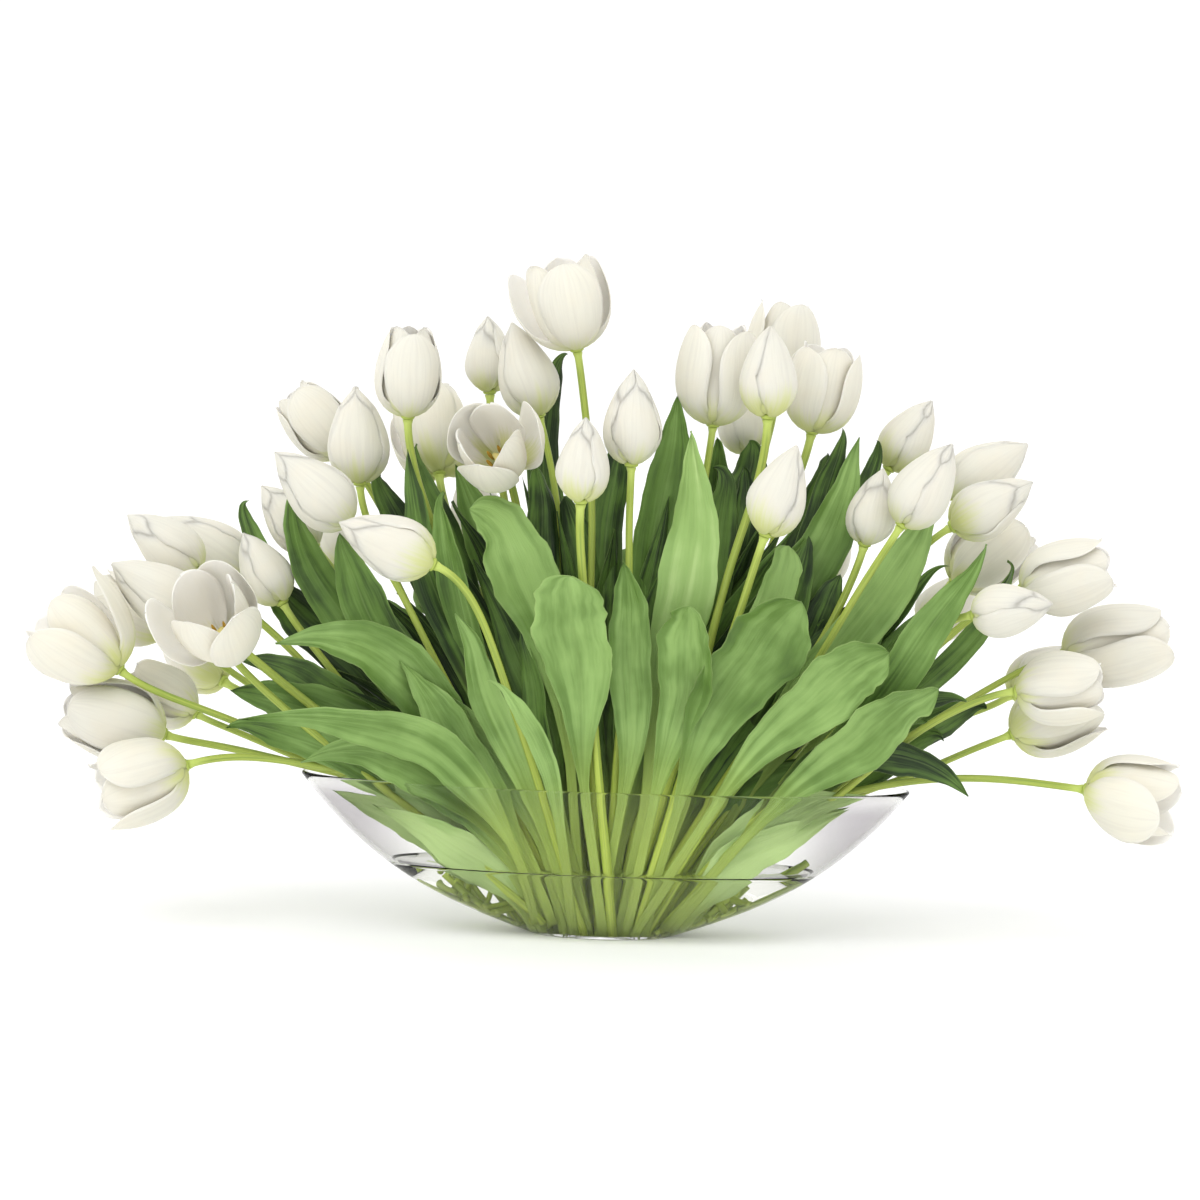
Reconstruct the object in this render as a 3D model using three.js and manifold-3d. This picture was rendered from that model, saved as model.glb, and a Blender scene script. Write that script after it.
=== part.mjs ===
// White tulips and their long leaves, fanned out of a clear glass boat-shaped bowl of water.
// Millimetres, +Z up, +X along the bowl and +Y away from the front.
// The origin is the middle of the bowl's flat underside.
import * as THREE from 'three';
import { ConvexGeometry } from 'three/addons/geometries/ConvexGeometry.js';
import { mergeVertices } from 'three/addons/utils/BufferGeometryUtils.js';
import Module from 'manifold-3d';

const wasm = await Module();
wasm.setup();

// Driving dimensions of the bowl: half lengths along X, half widths along Y.
const BOWL = {
  footLength: 48, footWidth: 34,
  rimLength: 201, rimWidth: 75,
  rimHeight: 99.5, straight: 0.52, // how much of the wall's rise is an even slope
  floor: 4, lip: 2.6, // glass thickness at the foot and at the rim
  turns: 30, levels: 5,
};
const WATER = { level: 43.5, gap: 0.7, holeMargin: 0.6, holeSides: 8 };

// Driving dimensions of a tulip.
const STEM = { radius: 2.8, sides: 5, steps: 5, neck: 50, pitch: 5.7, rimClearance: 118 };
const HEEL = { height: 4.2, margin: 1.6, clear: 3.8, gap: 0.4, sunk: 2.1 };
const BLOOM = { baseRadius: 4, gap: 0.3, lift: 1.4, sheet: 1.6, width: 24, arc: 1.18, innerGirth: 0.84 };
const LEAF = { thickness: 1, sheath: 3, stalk: 5, sections: 5 };
// How far the whole fan leans to its left, in degrees, and how far it has sunk from the places
// in the tables below.
const FAN = { lean: 0.5, sunk: 1.7 };

// Where each bunch stands on the floor of the bowl (x, y of its first row) and how many stalks
// stand side by side in a row. Front bunches have y below 0.
const BUNCHES = {
  front_far_left: [-36.3, -5.5, 3], front_left: [-12.5, -5.5, 3], front_middle: [4.6, -5.5, 3],
  front_right: [21.6, -5.5, 3], front_far_right: [43.4, -5.5, 3],
  back_far_left: [-33.4, 5.5, 4], back_left: [-7.4, 5.5, 4],
  back_right: [15, 5.5, 4], back_far_right: [42.4, 5.5, 4],
};

// Each bloom: bunch, place of its base (x, y, z), its lean from upright to the right and its
// lean towards the front in degrees, the length of its petals and how far it has opened.
const TULIPS = [
  ['front_far_left', -317, -27, 169, -51, 5, 66, 0.66],
  ['front_far_left', -289, -8, 126, -73, 10, 70, 0.36],
  ['front_far_left', -270, -45, 111, -108, 15, 62, 0.6],
  ['front_far_left', -268, -15, 204, -59, 5, 68, 0.04],
  ['front_far_left', -244, -60, 187, -18, 50, 66, 0.66],
  ['front_left', -168, -35, 269, -48, 5, 69, 0.03],
  ['front_left', -135, -10, 338, 0, 5, 60, 0.3],
  ['front_left', -111, -85, 246, -67, 5, 67, 0.02],
  ['front_left', -70, -20, 307, -28, 62, 60, 0.62],
  ['front_middle', -20, -75, 287, 2, 5, 55, 0.03],
  ['front_middle', 12, -45, 311, 0, 0, 63, 0.03],
  ['front_middle', -25, -5, 385, -12, 5, 63, 0.62],
  ['front_middle', 65, -5, 338, 4, 5, 68, 0.42],
  ['front_right', 99, -48, 344, 0, 5, 60, 0.03],
  ['front_right', 98, -70, 269, 18, 5, 62, 0.02],
  ['front_right', 165, -25, 263, 12, 5, 52, 0.02],
  ['front_right', 186, -52, 277, 30, 5, 63, 0.04],
  ['front_right', 222, -10, 276, 59, 5, 62, 0.03],
  ['front_far_right', 233, -60, 222, 78, 30, 56, 0.04],
  ['front_far_right', 268, -15, 236, 72, 10, 62, 0.46],
  ['front_far_right', 264, -40, 172, 82, 10, 57, 0.46],
  ['front_far_right', 313, -25, 108, 95, 15, 63, 0.62],
  ['back_far_left', -273, 28, 137, -62, 0, 52, 0.36],
  ['back_far_left', -293, 45, 191, -63, 0, 60, 0.46],
  ['back_far_left', -272, 25, 233, -54, 0, 62, 0.03],
  ['back_far_left', -244, 75, 226, -56, 0, 74, 0.04],
  ['back_far_left', -216, 15, 213, -31, 0, 54, 0.02],
  ['back_far_left', -262, 92, 154, -60, -25, 60, 0.06],
  ['back_left', -197, 40, 249, -42, 0, 56, 0.03],
  ['back_left', -180, 60, 313, -44, 0, 56, 0.4],
  ['back_left', -167, 15, 293, -4, 0, 66, 0.08],
  ['back_left', -117, 65, 300, -10, -35, 66, 0.62],
  ['back_left', -84, 60, 356, -3, 0, 52, 0.04],
  ['back_left', -49, 15, 341, -18, 0, 66, 0.03],
  ['back_left', -175, 110, 232, -32, -30, 62, 0.05],
  ['back_left', -88, 120, 252, -14, -30, 62, 0.04],
  ['back_right', 91, 75, 319, -9, 0, 54, 0.03],
  ['back_right', 110, 70, 358, 7, 0, 65, 0.36],
  ['back_right', 131, 15, 335, 10, 5, 60, 0.55],
  ['back_right', 184, 40, 312, 31, 0, 55, 0.03],
  ['back_right', -14, 122, 222, 3, -30, 62, 0.05],
  ['back_right', 58, 118, 258, 12, -30, 62, 0.04],
  ['back_right', 138, 112, 230, 26, -30, 62, 0.05],
  ['back_far_right', 223, 35, 296, 56, 0, 65, 0.04],
  ['back_far_right', 231, 55, 236, 48, 0, 62, 0.46],
  ['back_far_right', 302, 25, 192, 77, 0, 73, 0.42],
  ['back_far_right', 268, 10, 139, 67, 0, 63, 0.46],
  ['back_far_right', 216, 95, 198, 42, -25, 62, 0.05],
  ['back_far_right', 276, 80, 160, 58, -20, 62, 0.06],
];

// Each leaf: bunch, a place on its middle line two thirds of the way along, its tip, its width,
// how far up it is broadest (1 is a spoon, 0 is a blade) and the turn of its face in degrees.
const LEAVES = [
  ['front_far_left', [-140, -48, 179], [-215, -56, 194], 40, 0.5, 25],
  ['front_far_left', [-181, 4, 153], [-243, 8, 174], 34, 0.5, 30],
  ['front_far_left', [-132, -62, 135], [-235, -62, 145], 34, 0.4, -20],
  ['front_far_left', [-196, -25, 129], [-248, -25, 134], 26, 0.4, 20],
  ['front_far_left', [-132, -38, 120], [-196, -28, 114], 38, 0.4, 30],
  ['front_far_left', [-106, -20, 66], [-178, -8, 93], 32, 0.5, 10],
  ['front_left', [-54, -40, 242], [-92, -42, 282], 46, 0.7, 20],
  ['front_left', [-154, -20, 213], [-178, -18, 263], 36, 0.4, -25],
  ['front_left', [-79, -55, 172], [-97, -62, 215], 24, 0.3, 20],
  ['front_left', [-49, -35, 164], [-58, -38, 215], 20, 0.2, -40],
  ['front_far_left', [-100, -50, 138], [-134, -48, 183], 32, 0.4, 30],
  ['front_middle', [-22, -62, 187], [-24, -80, 242], 50, 1, 0],
  ['front_middle', [16, -50, 187], [8, -62, 250], 30, 0.6, 15],
  ['front_right', [49, -58, 180], [52, -72, 224], 40, 0.8, -20],
  ['front_middle', [36, -8, 277], [41, -12, 358], 33, 0.5, 10],
  ['front_middle', [51, -34, 252], [47, -44, 334], 40, 0.45, -15],
  ['front_right', [83, -60, 176], [122, -80, 230], 54, 0.9, 10],
  ['front_right', [131, -70, 165], [178, -88, 197], 45, 0.9, 15],
  ['front_right', [129, -6, 240], [163, -3, 334], 42, 0.4, -10],
  ['front_right', [177, -24, 235], [213, -24, 292], 36, 0.4, 15],
  ['front_far_right', [164, -60, 143], [213, -70, 173], 40, 0.8, 20],
  ['front_far_right', [174, -35, 128], [238, -30, 103], 30, 0.5, 40],
  ['front_far_right', [204, -62, 206], [241, -64, 268], 30, 0.35, -15],
  ['back_far_right', [246, 14, 213], [264, 20, 254], 20, 0.3, 20],
  ['front_far_right', [98, -12, 62], [162, -8, 91], 18, 0.5, 0],
  ['back_far_left', [-190, 10, 231], [-210, 12, 292], 30, 0.4, 20],
  ['back_far_left', [-230, 44, 240], [-243, 46, 281], 20, 0.3, -20],
  ['back_far_left', [-199, 30, 202], [-226, 35, 221], 34, 0.5, 20],
  ['back_left', [-140, 62, 185], [-196, 84, 205], 44, 0.7, 10],
  ['back_left', [-42, 30, 327], [-34, 40, 386], 26, 0.3, 20],
  ['back_left', [-6, 15, 248], [1, 20, 301], 30, 0.4, -20],
  ['back_left', [-142, 35, 264], [-156, 42, 300], 26, 0.3, 15],
  ['back_left', [-120, 40, 271], [-131, 45, 321], 26, 0.3, -15],
  ['back_left', [-79, 8, 247], [-104, 10, 309], 34, 0.4, 10],
  ['back_left', [-96, 60, 190], [-126, 84, 240], 46, 0.9, -10],
  ['back_left', [-50, 60, 205], [-62, 88, 262], 42, 0.8, 10],
  ['back_right', [132, 25, 270], [144, 36, 324], 34, 0.4, 20],
  ['back_right', [88, 30, 277], [91, 35, 330], 34, 0.5, -15],
  ['back_right', [14, 60, 195], [14, 86, 252], 46, 0.9, 10],
  ['back_right', [92, 60, 180], [124, 82, 226], 46, 0.9, 15],
  ['back_far_right', [196, 22, 127], [225, 27, 133], 22, 0.4, -20],
  ['back_far_right', [218, 30, 143], [255, 35, 156], 26, 0.4, 20],
  ['back_far_right', [140, 60, 168], [186, 84, 194], 46, 0.8, 10],
  ['back_far_right', [158, 62, 148], [214, 76, 160], 40, 0.6, -20],
];

const GLASS = new THREE.MeshStandardMaterial({
  color: 0xe4e8ee, roughness: 0.05, metalness: 0, transparent: true, opacity: 0.35,
});
const CLEAR_WATER = new THREE.MeshStandardMaterial({
  color: 0xe8ecea, roughness: 0.08, metalness: 0, transparent: true, opacity: 0.4,
});
const GREEN = new THREE.MeshStandardMaterial({ color: 0x6f9448, roughness: 0.5, metalness: 0 });
const WHITE = new THREE.MeshStandardMaterial({ color: 0xf1eee4, roughness: 0.65, metalness: 0 });

const mix = (a, b, share) => a + (b - a) * share;
const radians = THREE.MathUtils.degToRad;
const smoothstep = THREE.MathUtils.smoothstep;
const vector = (x, y, z) => new THREE.Vector3(x, y, z);
const settled = (x, y, z) => vector(x, y, z - FAN.sunk)
  .applyAxisAngle(vector(0, 1, 0), -radians(FAN.lean));

// A closed solid from shared points and their triangles, turned to face outwards.
function solidOf(points, faces) {
  const make = (triangles) => new wasm.Manifold(new wasm.Mesh({
    numProp: 3,
    vertProperties: new Float32Array(points.flatMap((p) => [p.x, p.y, p.z])),
    triVerts: new Uint32Array(triangles.flat()),
  }));
  const made = make(faces);
  return made.volume() > 0 ? made : make(faces.map(([a, b, c]) => [a, c, b]));
}

// A closed solid from a closed three.js geometry.
function solidOfGeometry(geometry) {
  geometry.deleteAttribute('normal');
  geometry.deleteAttribute('uv');
  const merged = mergeVertices(geometry, 1e-4);
  const at = merged.getAttribute('position');
  const points = Array.from({ length: at.count }, (_, i) => vector(at.getX(i), at.getY(i), at.getZ(i)));
  const faces = Array.from({ length: merged.index.count / 3 }, (_, i) => (
    [0, 1, 2].map((corner) => merged.index.getX(3 * i + corner))
  ));
  return solidOf(points, faces);
}

// Back from a solid to a three.js geometry.
function geometryOf(solid) {
  const mesh = solid.getMesh();
  return new THREE.BufferGeometry()
    .setAttribute('position', new THREE.BufferAttribute(mesh.vertProperties, 3))
    .setIndex(new THREE.BufferAttribute(mesh.triVerts, 1));
}

function meshOf(name, solid, material) {
  const mesh = new THREE.Mesh(geometryOf(solid), material);
  mesh.name = name;
  return mesh;
}

// The largest body of a solid: loose scraps and sealed hollows are left out.
function largestBody(solid) {
  const bodies = solid.decompose();
  return bodies.reduce((best, body) => (body.volume() > best.volume() ? body : best));
}

// A skin through rings of points, each ring closed on itself, and fans over the two ends.
// Columns named in mirrored are split along their other diagonal.
function loft(rings, mirrored = []) {
  const sides = rings[0].length;
  const points = rings.flat();
  const faces = [];
  for (let ring = 0; ring < rings.length - 1; ring += 1) {
    const low = ring * sides;
    const last = rings[ring + 1].length === 1;
    for (let i = 0; i < sides; i += 1) {
      const a = low + i;
      const b = low + ((i + 1) % sides);
      if (last) faces.push([a, b, low + sides]);
      else if (mirrored.includes(i)) faces.push([a, b, a + sides], [b, b + sides, a + sides]);
      else faces.push([a, b, b + sides], [a, b + sides, a + sides]);
    }
  }
  for (let i = 1; i < sides - 1; i += 1) faces.push([0, i + 1, i]);
  const end = points.length - sides;
  if (rings.at(-1).length > 1) {
    for (let i = 1; i < sides - 1; i += 1) faces.push([end, end + i, end + i + 1]);
  }
  return solidOf(points, faces);
}

// The glass bowl

// The wall is an even slope at first and steepens towards the rim.
const wallHeight = (rise) => BOWL.rimHeight * mix(rise ** 3, rise, BOWL.straight);

// A point on the outside of the bowl. The rise runs from 0 at the foot to 1 at the rim.
function bowlOutside(rise, angle) {
  return vector(
    mix(BOWL.footLength, BOWL.rimLength, rise) * Math.cos(angle),
    mix(BOWL.footWidth, BOWL.rimWidth, rise) * Math.sin(angle),
    wallHeight(rise),
  );
}

// The same point moved square to the glass, by the wall and a further depth.
function bowlInside(rise, angle, depth = 0) {
  const step = 1e-4;
  const start = Math.max(rise, step);
  const here = bowlOutside(start, angle);
  const up = bowlOutside(start + step, angle).sub(here);
  const round = bowlOutside(start, angle + step).sub(here);
  const inward = up.cross(round).normalize();
  return bowlOutside(rise, angle).addScaledVector(inward, mix(BOWL.floor, BOWL.lip, rise) + depth);
}

function bowlRing(place) {
  return Array.from({ length: BOWL.turns }, (_, i) => place((2 * Math.PI * i) / BOWL.turns));
}

function glassBowl() {
  const rises = Array.from({ length: BOWL.levels + 1 }, (_, i) => i / BOWL.levels);
  const outside = rises.map((rise) => bowlRing((angle) => bowlOutside(rise, angle)));
  const inside = rises.map((rise) => bowlRing((angle) => bowlInside(rise, angle))).reverse();
  return loft([...outside, ...inside]);
}

// Everything the bowl holds up to the water line, less a plain hole round each bunch.
function bowlWater(bunches) {
  const rises = Array.from({ length: BOWL.levels + 1 }, (_, i) => i / BOWL.levels);
  const filled = loft(rises.map((rise) => (
    bowlRing((angle) => bowlInside(rise, angle, WATER.gap))
  )));
  const box = new THREE.BoxGeometry(900, 900, WATER.level + 10);
  box.translate(0, 0, (WATER.level - 10) / 2);
  const level = solidOfGeometry(box);
  const holes = bunches.map((bunch) => plainHole(bunch));
  return largestBody(holes.reduce((water, hole) => water.subtract(hole), filled.intersect(level)));
}

// A convex hole that keeps a little clear of all that stands in it below the water line.
function plainHole(bunch) {
  const steps = [-10, 16, 31, WATER.level + 5];
  const corners = steps.slice(1).flatMap((top, i) => {
    const box = new THREE.BoxGeometry(900, 900, top - steps[i]);
    box.translate(0, 0, (top + steps[i]) / 2);
    const { vertProperties } = bunch.intersect(solidOfGeometry(box)).getMesh();
    const slice = [];
    for (let j = 0; j < vertProperties.length; j += 3) slice.push(vector(...vertProperties.subarray(j, j + 3)));
    return holeCorners(slice, steps[i], top);
  });
  return solidOfGeometry(new ConvexGeometry(corners));
}

// The corners of the smallest upright prism with a few sides that holds a slice with a margin.
function holeCorners(slice, bottom, top) {
  const turn = (2 * Math.PI) / WATER.holeSides;
  const reach = Array.from({ length: WATER.holeSides }, (_, side) => Math.max(
    ...slice.map((p) => p.x * Math.cos(side * turn) + p.y * Math.sin(side * turn)),
  ) + WATER.holeMargin);
  return reach.flatMap((here, side) => {
    const next = reach[(side + 1) % WATER.holeSides];
    const along = (next - here * Math.cos(turn)) / Math.sin(turn);
    const x = here * Math.cos(side * turn) - along * Math.sin(side * turn);
    const y = here * Math.sin(side * turn) + along * Math.cos(side * turn);
    return [vector(x, y, bottom), vector(x, y, top)];
  });
}

// Stems

// The height of the glass floor under a place.
function floorHeight(x, y) {
  let rise = 0;
  while ((x / mix(BOWL.footLength, BOWL.rimLength, rise)) ** 2
    + (y / mix(BOWL.footWidth, BOWL.rimWidth, rise)) ** 2 > 1) rise += 0.005;
  return BOWL.floor + wallHeight(rise);
}

// A bunch stands on the floor in rows, one behind the other from the middle of the bowl. What
// leans furthest to the front or back stands in the outer rows, and each row stands in the
// order in which it fans out.
function standingPlaces(bunch, ends) {
  const [x, y, columns] = BUNCHES[bunch];
  const outward = ends.map((end, i) => i).sort((a, b) => Math.abs(ends[a].y) - Math.abs(ends[b].y));
  const places = [];
  for (let row = 0; row * columns < outward.length; row += 1) {
    const fanned = outward.slice(row * columns, (row + 1) * columns)
      .sort((a, b) => ends[a].x / ends[a].z - ends[b].x / ends[b].z);
    fanned.forEach((item, column) => {
      places[item] = vector(
        x + (column - (fanned.length - 1) / 2) * STEM.pitch,
        y + Math.sign(y) * row * STEM.pitch,
        0,
      );
    });
  }
  const floor = Math.max(...places.map((place) => floorHeight(
    Math.abs(place.x) + HEEL.margin + HEEL.clear, Math.abs(place.y) + HEEL.margin + HEEL.clear,
  )));
  places.forEach((place) => place.setZ(floor + HEEL.gap + HEEL.sunk));
  return places;
}

// The cut ends of a bunch are pressed together into one thin foot.
function heel(places) {
  const span = new THREE.Box3().setFromPoints(places);
  const size = span.getSize(vector()).addScalar(2 * HEEL.margin);
  const foot = new THREE.BoxGeometry(size.x, size.y, HEEL.height);
  foot.translate(
    (span.min.x + span.max.x) / 2,
    (span.min.y + span.max.y) / 2,
    span.min.z - HEEL.sunk + HEEL.height / 2,
  );
  return solidOfGeometry(foot);
}

function headDirection(lean, forward) {
  const flat = Math.cos(radians(forward));
  const right = radians(lean - FAN.lean);
  return vector(Math.sin(right) * flat, -Math.sin(radians(forward)), Math.cos(right) * flat);
}

// A stem leaves the floor steeper than its bloom lies, so that it clears the rim, then bends
// over into the line of the bloom.
function stemCurve(start, end, direction) {
  const chord = end.clone().sub(start);
  const reach = Math.hypot(end.x / BOWL.rimLength, end.y / BOWL.rimWidth);
  const steep = Math.min(1, end.z / reach / STEM.rimClearance) ** 1.6;
  const first = vector(chord.x * steep, chord.y * steep, 0);
  first.z = Math.sqrt(chord.lengthSq() - first.lengthSq());
  return new THREE.CubicBezierCurve3(
    start,
    start.clone().addScaledVector(first, 0.45),
    end.clone().addScaledVector(direction, -STEM.neck),
    end,
  );
}

function stem(curve) {
  const section = new THREE.Shape(Array.from({ length: STEM.sides }, (_, i) => {
    const angle = (2 * Math.PI * i) / STEM.sides;
    return new THREE.Vector2(Math.cos(angle), Math.sin(angle)).multiplyScalar(STEM.radius);
  }));
  return solidOfGeometry(new THREE.ExtrudeGeometry(section, {
    steps: STEM.steps, extrudePath: curve, bevelEnabled: false,
  }));
}

// Leaves

// Half the width of a leaf along its length: a narrow stalk that widens into the blade, which
// ends in a point or, on a spoon, bluntly.
function leafHalfWidth(share, width, spoon) {
  const widened = mix(1.2, 1.03, spoon) / (1 + Math.exp((mix(0.24, 0.46, spoon) - share) / 0.09));
  const ended = (1 - share ** mix(2.2, 12, spoon ** 2)) ** mix(1.25, 0.5, spoon ** 1.5);
  const stalk = (LEAF.stalk / 2) * (1 - share ** 4);
  return Math.max(stalk, (width / 2) * widened * ended);
}

// The middle line bends once, through the given place, on its way to the tip.
function leafCurve(start, middle, tip) {
  const share = 0.62;
  const bend = middle.clone()
    .addScaledVector(start, -((1 - share) ** 2))
    .addScaledVector(tip, -(share ** 2))
    .divideScalar(2 * share * (1 - share));
  return new THREE.QuadraticBezierCurve3(start, bend, tip);
}

// Three points across a leaf on each face, cupped along the middle and waved at both edges.
function leafSection(curve, share, width, spoon, turn, front) {
  const centre = curve.getPoint(share);
  const along = curve.getTangent(share);
  const across = vector(0, front, 0).cross(along).normalize();
  across.applyAxisAngle(along, radians(turn * share));
  const face = along.clone().cross(across).normalize();
  const half = leafHalfWidth(share, width, spoon);
  const thickness = mix(LEAF.sheath, LEAF.thickness, smoothstep(share, 0, 0.3)) / 2;
  const wave = 0.1 * half * Math.sin(9 * share + turn);
  const place = (side, lift, depth) => centre.clone()
    .addScaledVector(across, side * half)
    .addScaledVector(face, lift + depth);
  const edges = [[-1, 0.22 * half + wave], [0, 0], [1, 0.22 * half - wave]];
  return [
    ...edges.map(([side, lift]) => place(side, lift, thickness)),
    ...edges.reverse().map(([side, lift]) => place(side, lift, -thickness)),
  ];
}

function leaf(curve, width, spoon, turn, front) {
  const shares = Array.from({ length: LEAF.sections }, (_, i) => (
    Math.sin((Math.PI * i) / (2 * LEAF.sections)) ** 1.15
  ));
  const rings = shares.map((share) => leafSection(curve, share, width, spoon, turn, front));
  rings.push([curve.getPoint(1)]);
  return loft(rings, [3, 4]);
}

// Blooms

// The middle line of a petal, out from the axis and up, as it leans outwards while it opens.
function petalLine(bloomLength, open, girth, lift) {
  const steps = 60;
  const length = bloomLength * BLOOM.arc;
  const line = [{ radius: 2.2, height: lift, slope: radians(88) }];
  for (let i = 0; i < steps; i += 1) {
    const share = (i + 0.5) / steps;
    const shut = 88 * (1 - share) ** 3.5 - 30 * smoothstep(share, 0, 0.8);
    const wide = 88 - 58 * smoothstep(share, 0, 0.5) - 34 * smoothstep(share, 0.4, 1);
    const slope = radians(mix(shut, wide, open));
    const last = line.at(-1);
    line.push({
      radius: last.radius + (girth * Math.sin(slope) * length) / steps,
      height: last.height + (Math.cos(slope) * length) / steps,
      slope,
    });
  }
  return (share) => line[Math.round(share * steps)];
}

// How far a petal spreads to each side round the axis, as an angle.
function petalSpread(share, radius) {
  const halfWidth = BLOOM.width * (share + 0.06) ** 0.45 * (1 - share) ** 0.5 * 1.25;
  return Math.min(halfWidth / radius, share < 0.3 ? radians(29) : radians(52));
}

// The sections of a petal above its root: left edge, back, right edge and face, and its tip.
function petalSections(line, azimuth) {
  const place = (share, turn, offset) => {
    const { radius, height, slope } = line(share);
    const out = radius + offset * Math.cos(slope);
    return vector(
      out * Math.cos(azimuth + turn),
      out * Math.sin(azimuth + turn),
      height - offset * Math.sin(slope),
    );
  };
  const sections = [0.25, 0.6, 0.85].map((share) => {
    const spread = petalSpread(share, line(share).radius);
    return [
      place(share, -spread, 0), place(share, 0, BLOOM.sheet / 2),
      place(share, spread, 0), place(share, 0, -BLOOM.sheet / 2),
    ];
  });
  return [...sections, [place(1, 0, 0)]];
}

// The skin of one petal from its root on the cup: three places on the outside of the cup and
// three on the inside, from left to right. Both faces are split into triangles alike.
function petalFaces([outLeft, outMiddle, outRight], [inLeft, inMiddle, inRight], first) {
  const [left, back, right, face] = [0, 1, 2, 3].map((i) => first + i);
  const faces = [
    [outLeft, outMiddle, back], [outLeft, back, left],
    [outMiddle, outRight, right], [outMiddle, right, back],
    [inMiddle, inLeft, face], [inLeft, left, face],
    [inRight, inMiddle, right], [inMiddle, face, right],
    [outLeft, left, inLeft], [right, outRight, inRight],
  ];
  for (const low of [0, 4]) {
    const [a, b, c, d] = [left, back, right, face].map((i) => i + low);
    faces.push([a, b, b + 4], [a, b + 4, a + 4], [b, c, c + 4], [b, c + 4, b + 4]);
    faces.push([d, a, d + 4], [a, a + 4, d + 4], [c, d, c + 4], [d, d + 4, c + 4]);
  }
  const [a, b, c, d, tip] = [8, 9, 10, 11, 12].map((i) => first + i);
  faces.push([a, b, tip], [b, c, tip], [d, a, tip], [c, d, tip]);
  return faces;
}

// An open bloom: three outer and three inner petals rise from one cup, round the seed head.
function openBloom(length, open) {
  const outer = petalLine(length, open, 1, BLOOM.lift);
  const inner = petalLine(length * 0.97, open * 0.85, BLOOM.innerGirth, 2.5 * BLOOM.lift);
  const ring = (count, radius, height) => Array.from({ length: count }, (_, i) => {
    const angle = (2 * Math.PI * i) / count - Math.PI / 6;
    return vector(radius * Math.cos(angle), radius * Math.sin(angle), height);
  });
  const points = [...ring(6, BLOOM.baseRadius, 0), ...ring(12, 7.6, 4.4), ...ring(12, 6.4, 6.6)];
  const apex = points.push(vector(0, 0, 21)) - 1;
  const faces = [[0, 2, 1], [0, 3, 2], [0, 4, 3], [0, 5, 4]];
  for (let i = 0; i < 6; i += 1) {
    const outside = [0, 1, 2].map((step) => 6 + ((2 * i + step) % 12));
    const inside = outside.map((place) => place + 12);
    const next = (i + 1) % 6;
    faces.push([i, next, outside[1]], [i, outside[1], outside[0]], [next, outside[2], outside[1]]);
    faces.push([inside[0], inside[1], apex], [inside[1], inside[2], apex]);
    faces.push(...petalFaces(outside, inside, points.length));
    points.push(...petalSections(i % 2 ? inner : outer, (Math.PI * i) / 3).flat());
  }
  return solidOf(points, faces);
}

// A closed bloom: three outer petals, each with one edge lying over the next.
function closedBloom(length, open) {
  const line = petalLine(length, open, 1, BLOOM.lift);
  const edges = [[0, 1.06], [52, 1.05], [106, 0.94]];
  const ring = (radius, height, overlap) => [0, 120, 240].flatMap((turn) => (
    edges.map(([angle, reach]) => {
      const out = radius * mix(1, reach, overlap);
      return vector(out * Math.cos(radians(turn + angle)), out * Math.sin(radians(turn + angle)), height);
    })
  ));
  const rings = [ring(BLOOM.baseRadius, 0, 0)];
  for (const share of [0.12, 0.3, 0.55, 0.8]) {
    const { radius, height } = line(share);
    rings.push(ring(radius, height, 1));
  }
  rings.push([vector(0, 0, line(1).height)]);
  return loft(rings);
}

// The whole arrangement

const arrangement = new THREE.Group();

TULIPS.forEach(([bunch, x, y, z, lean, forward, length, open], i) => {
  const shape = open > 0.1 ? openBloom(length, open) : closedBloom(length, open);
  const bloom = meshOf(`tulip_${String(i + 1).padStart(2, '0')}`, shape, WHITE);
  const facing = headDirection(lean, forward);
  bloom.position.copy(settled(x, y, z)).addScaledVector(facing, BLOOM.gap);
  bloom.quaternion.setFromUnitVectors(vector(0, 0, 1), facing);
  bloom.rotateZ(radians(47 * i));
  arrangement.add(bloom);
});

// The stems and leaves of one bunch, joined at their cut ends.
function stemsAndLeaves(bunch) {
  const stems = TULIPS.filter((tulip) => tulip[0] === bunch);
  const leaves = LEAVES.filter((blade) => blade[0] === bunch);
  const ends = [
    ...stems.map(([, x, y, z]) => settled(x, y, z)),
    ...leaves.map(([, , tip]) => settled(...tip)),
  ];
  const places = standingPlaces(bunch, ends);
  const pieces = stems.map(([, , , , lean, forward], i) => (
    stem(stemCurve(places[i], ends[i], headDirection(lean, forward)))
  ));
  leaves.forEach(([, middle, , width, spoon, turn], i) => {
    const place = places[stems.length + i];
    const curve = leafCurve(place, settled(...middle), ends[stems.length + i]);
    pieces.push(leaf(curve, width, spoon, turn, Math.sign(place.y)));
  });
  return [heel(places), ...pieces];
}

const bunches = Object.keys(BUNCHES).map((bunch) => {
  const joined = largestBody(stemsAndLeaves(bunch).reduce((all, piece) => all.add(piece)));
  arrangement.add(meshOf(`stems_and_leaves_${bunch}`, joined, GREEN));
  return joined;
});

arrangement.add(meshOf('glass_bowl', glassBowl(), GLASS));
arrangement.add(meshOf('water', bowlWater(bunches), CLEAR_WATER));

export default arrangement;
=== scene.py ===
# White tulips and their long leaves, fanned out of a clear glass boat-shaped bowl of water.
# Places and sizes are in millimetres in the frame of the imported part; meshes are made in metres.
import math
import random

import bpy
import numpy as np
from mathutils import Matrix, Quaternion, Vector


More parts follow.
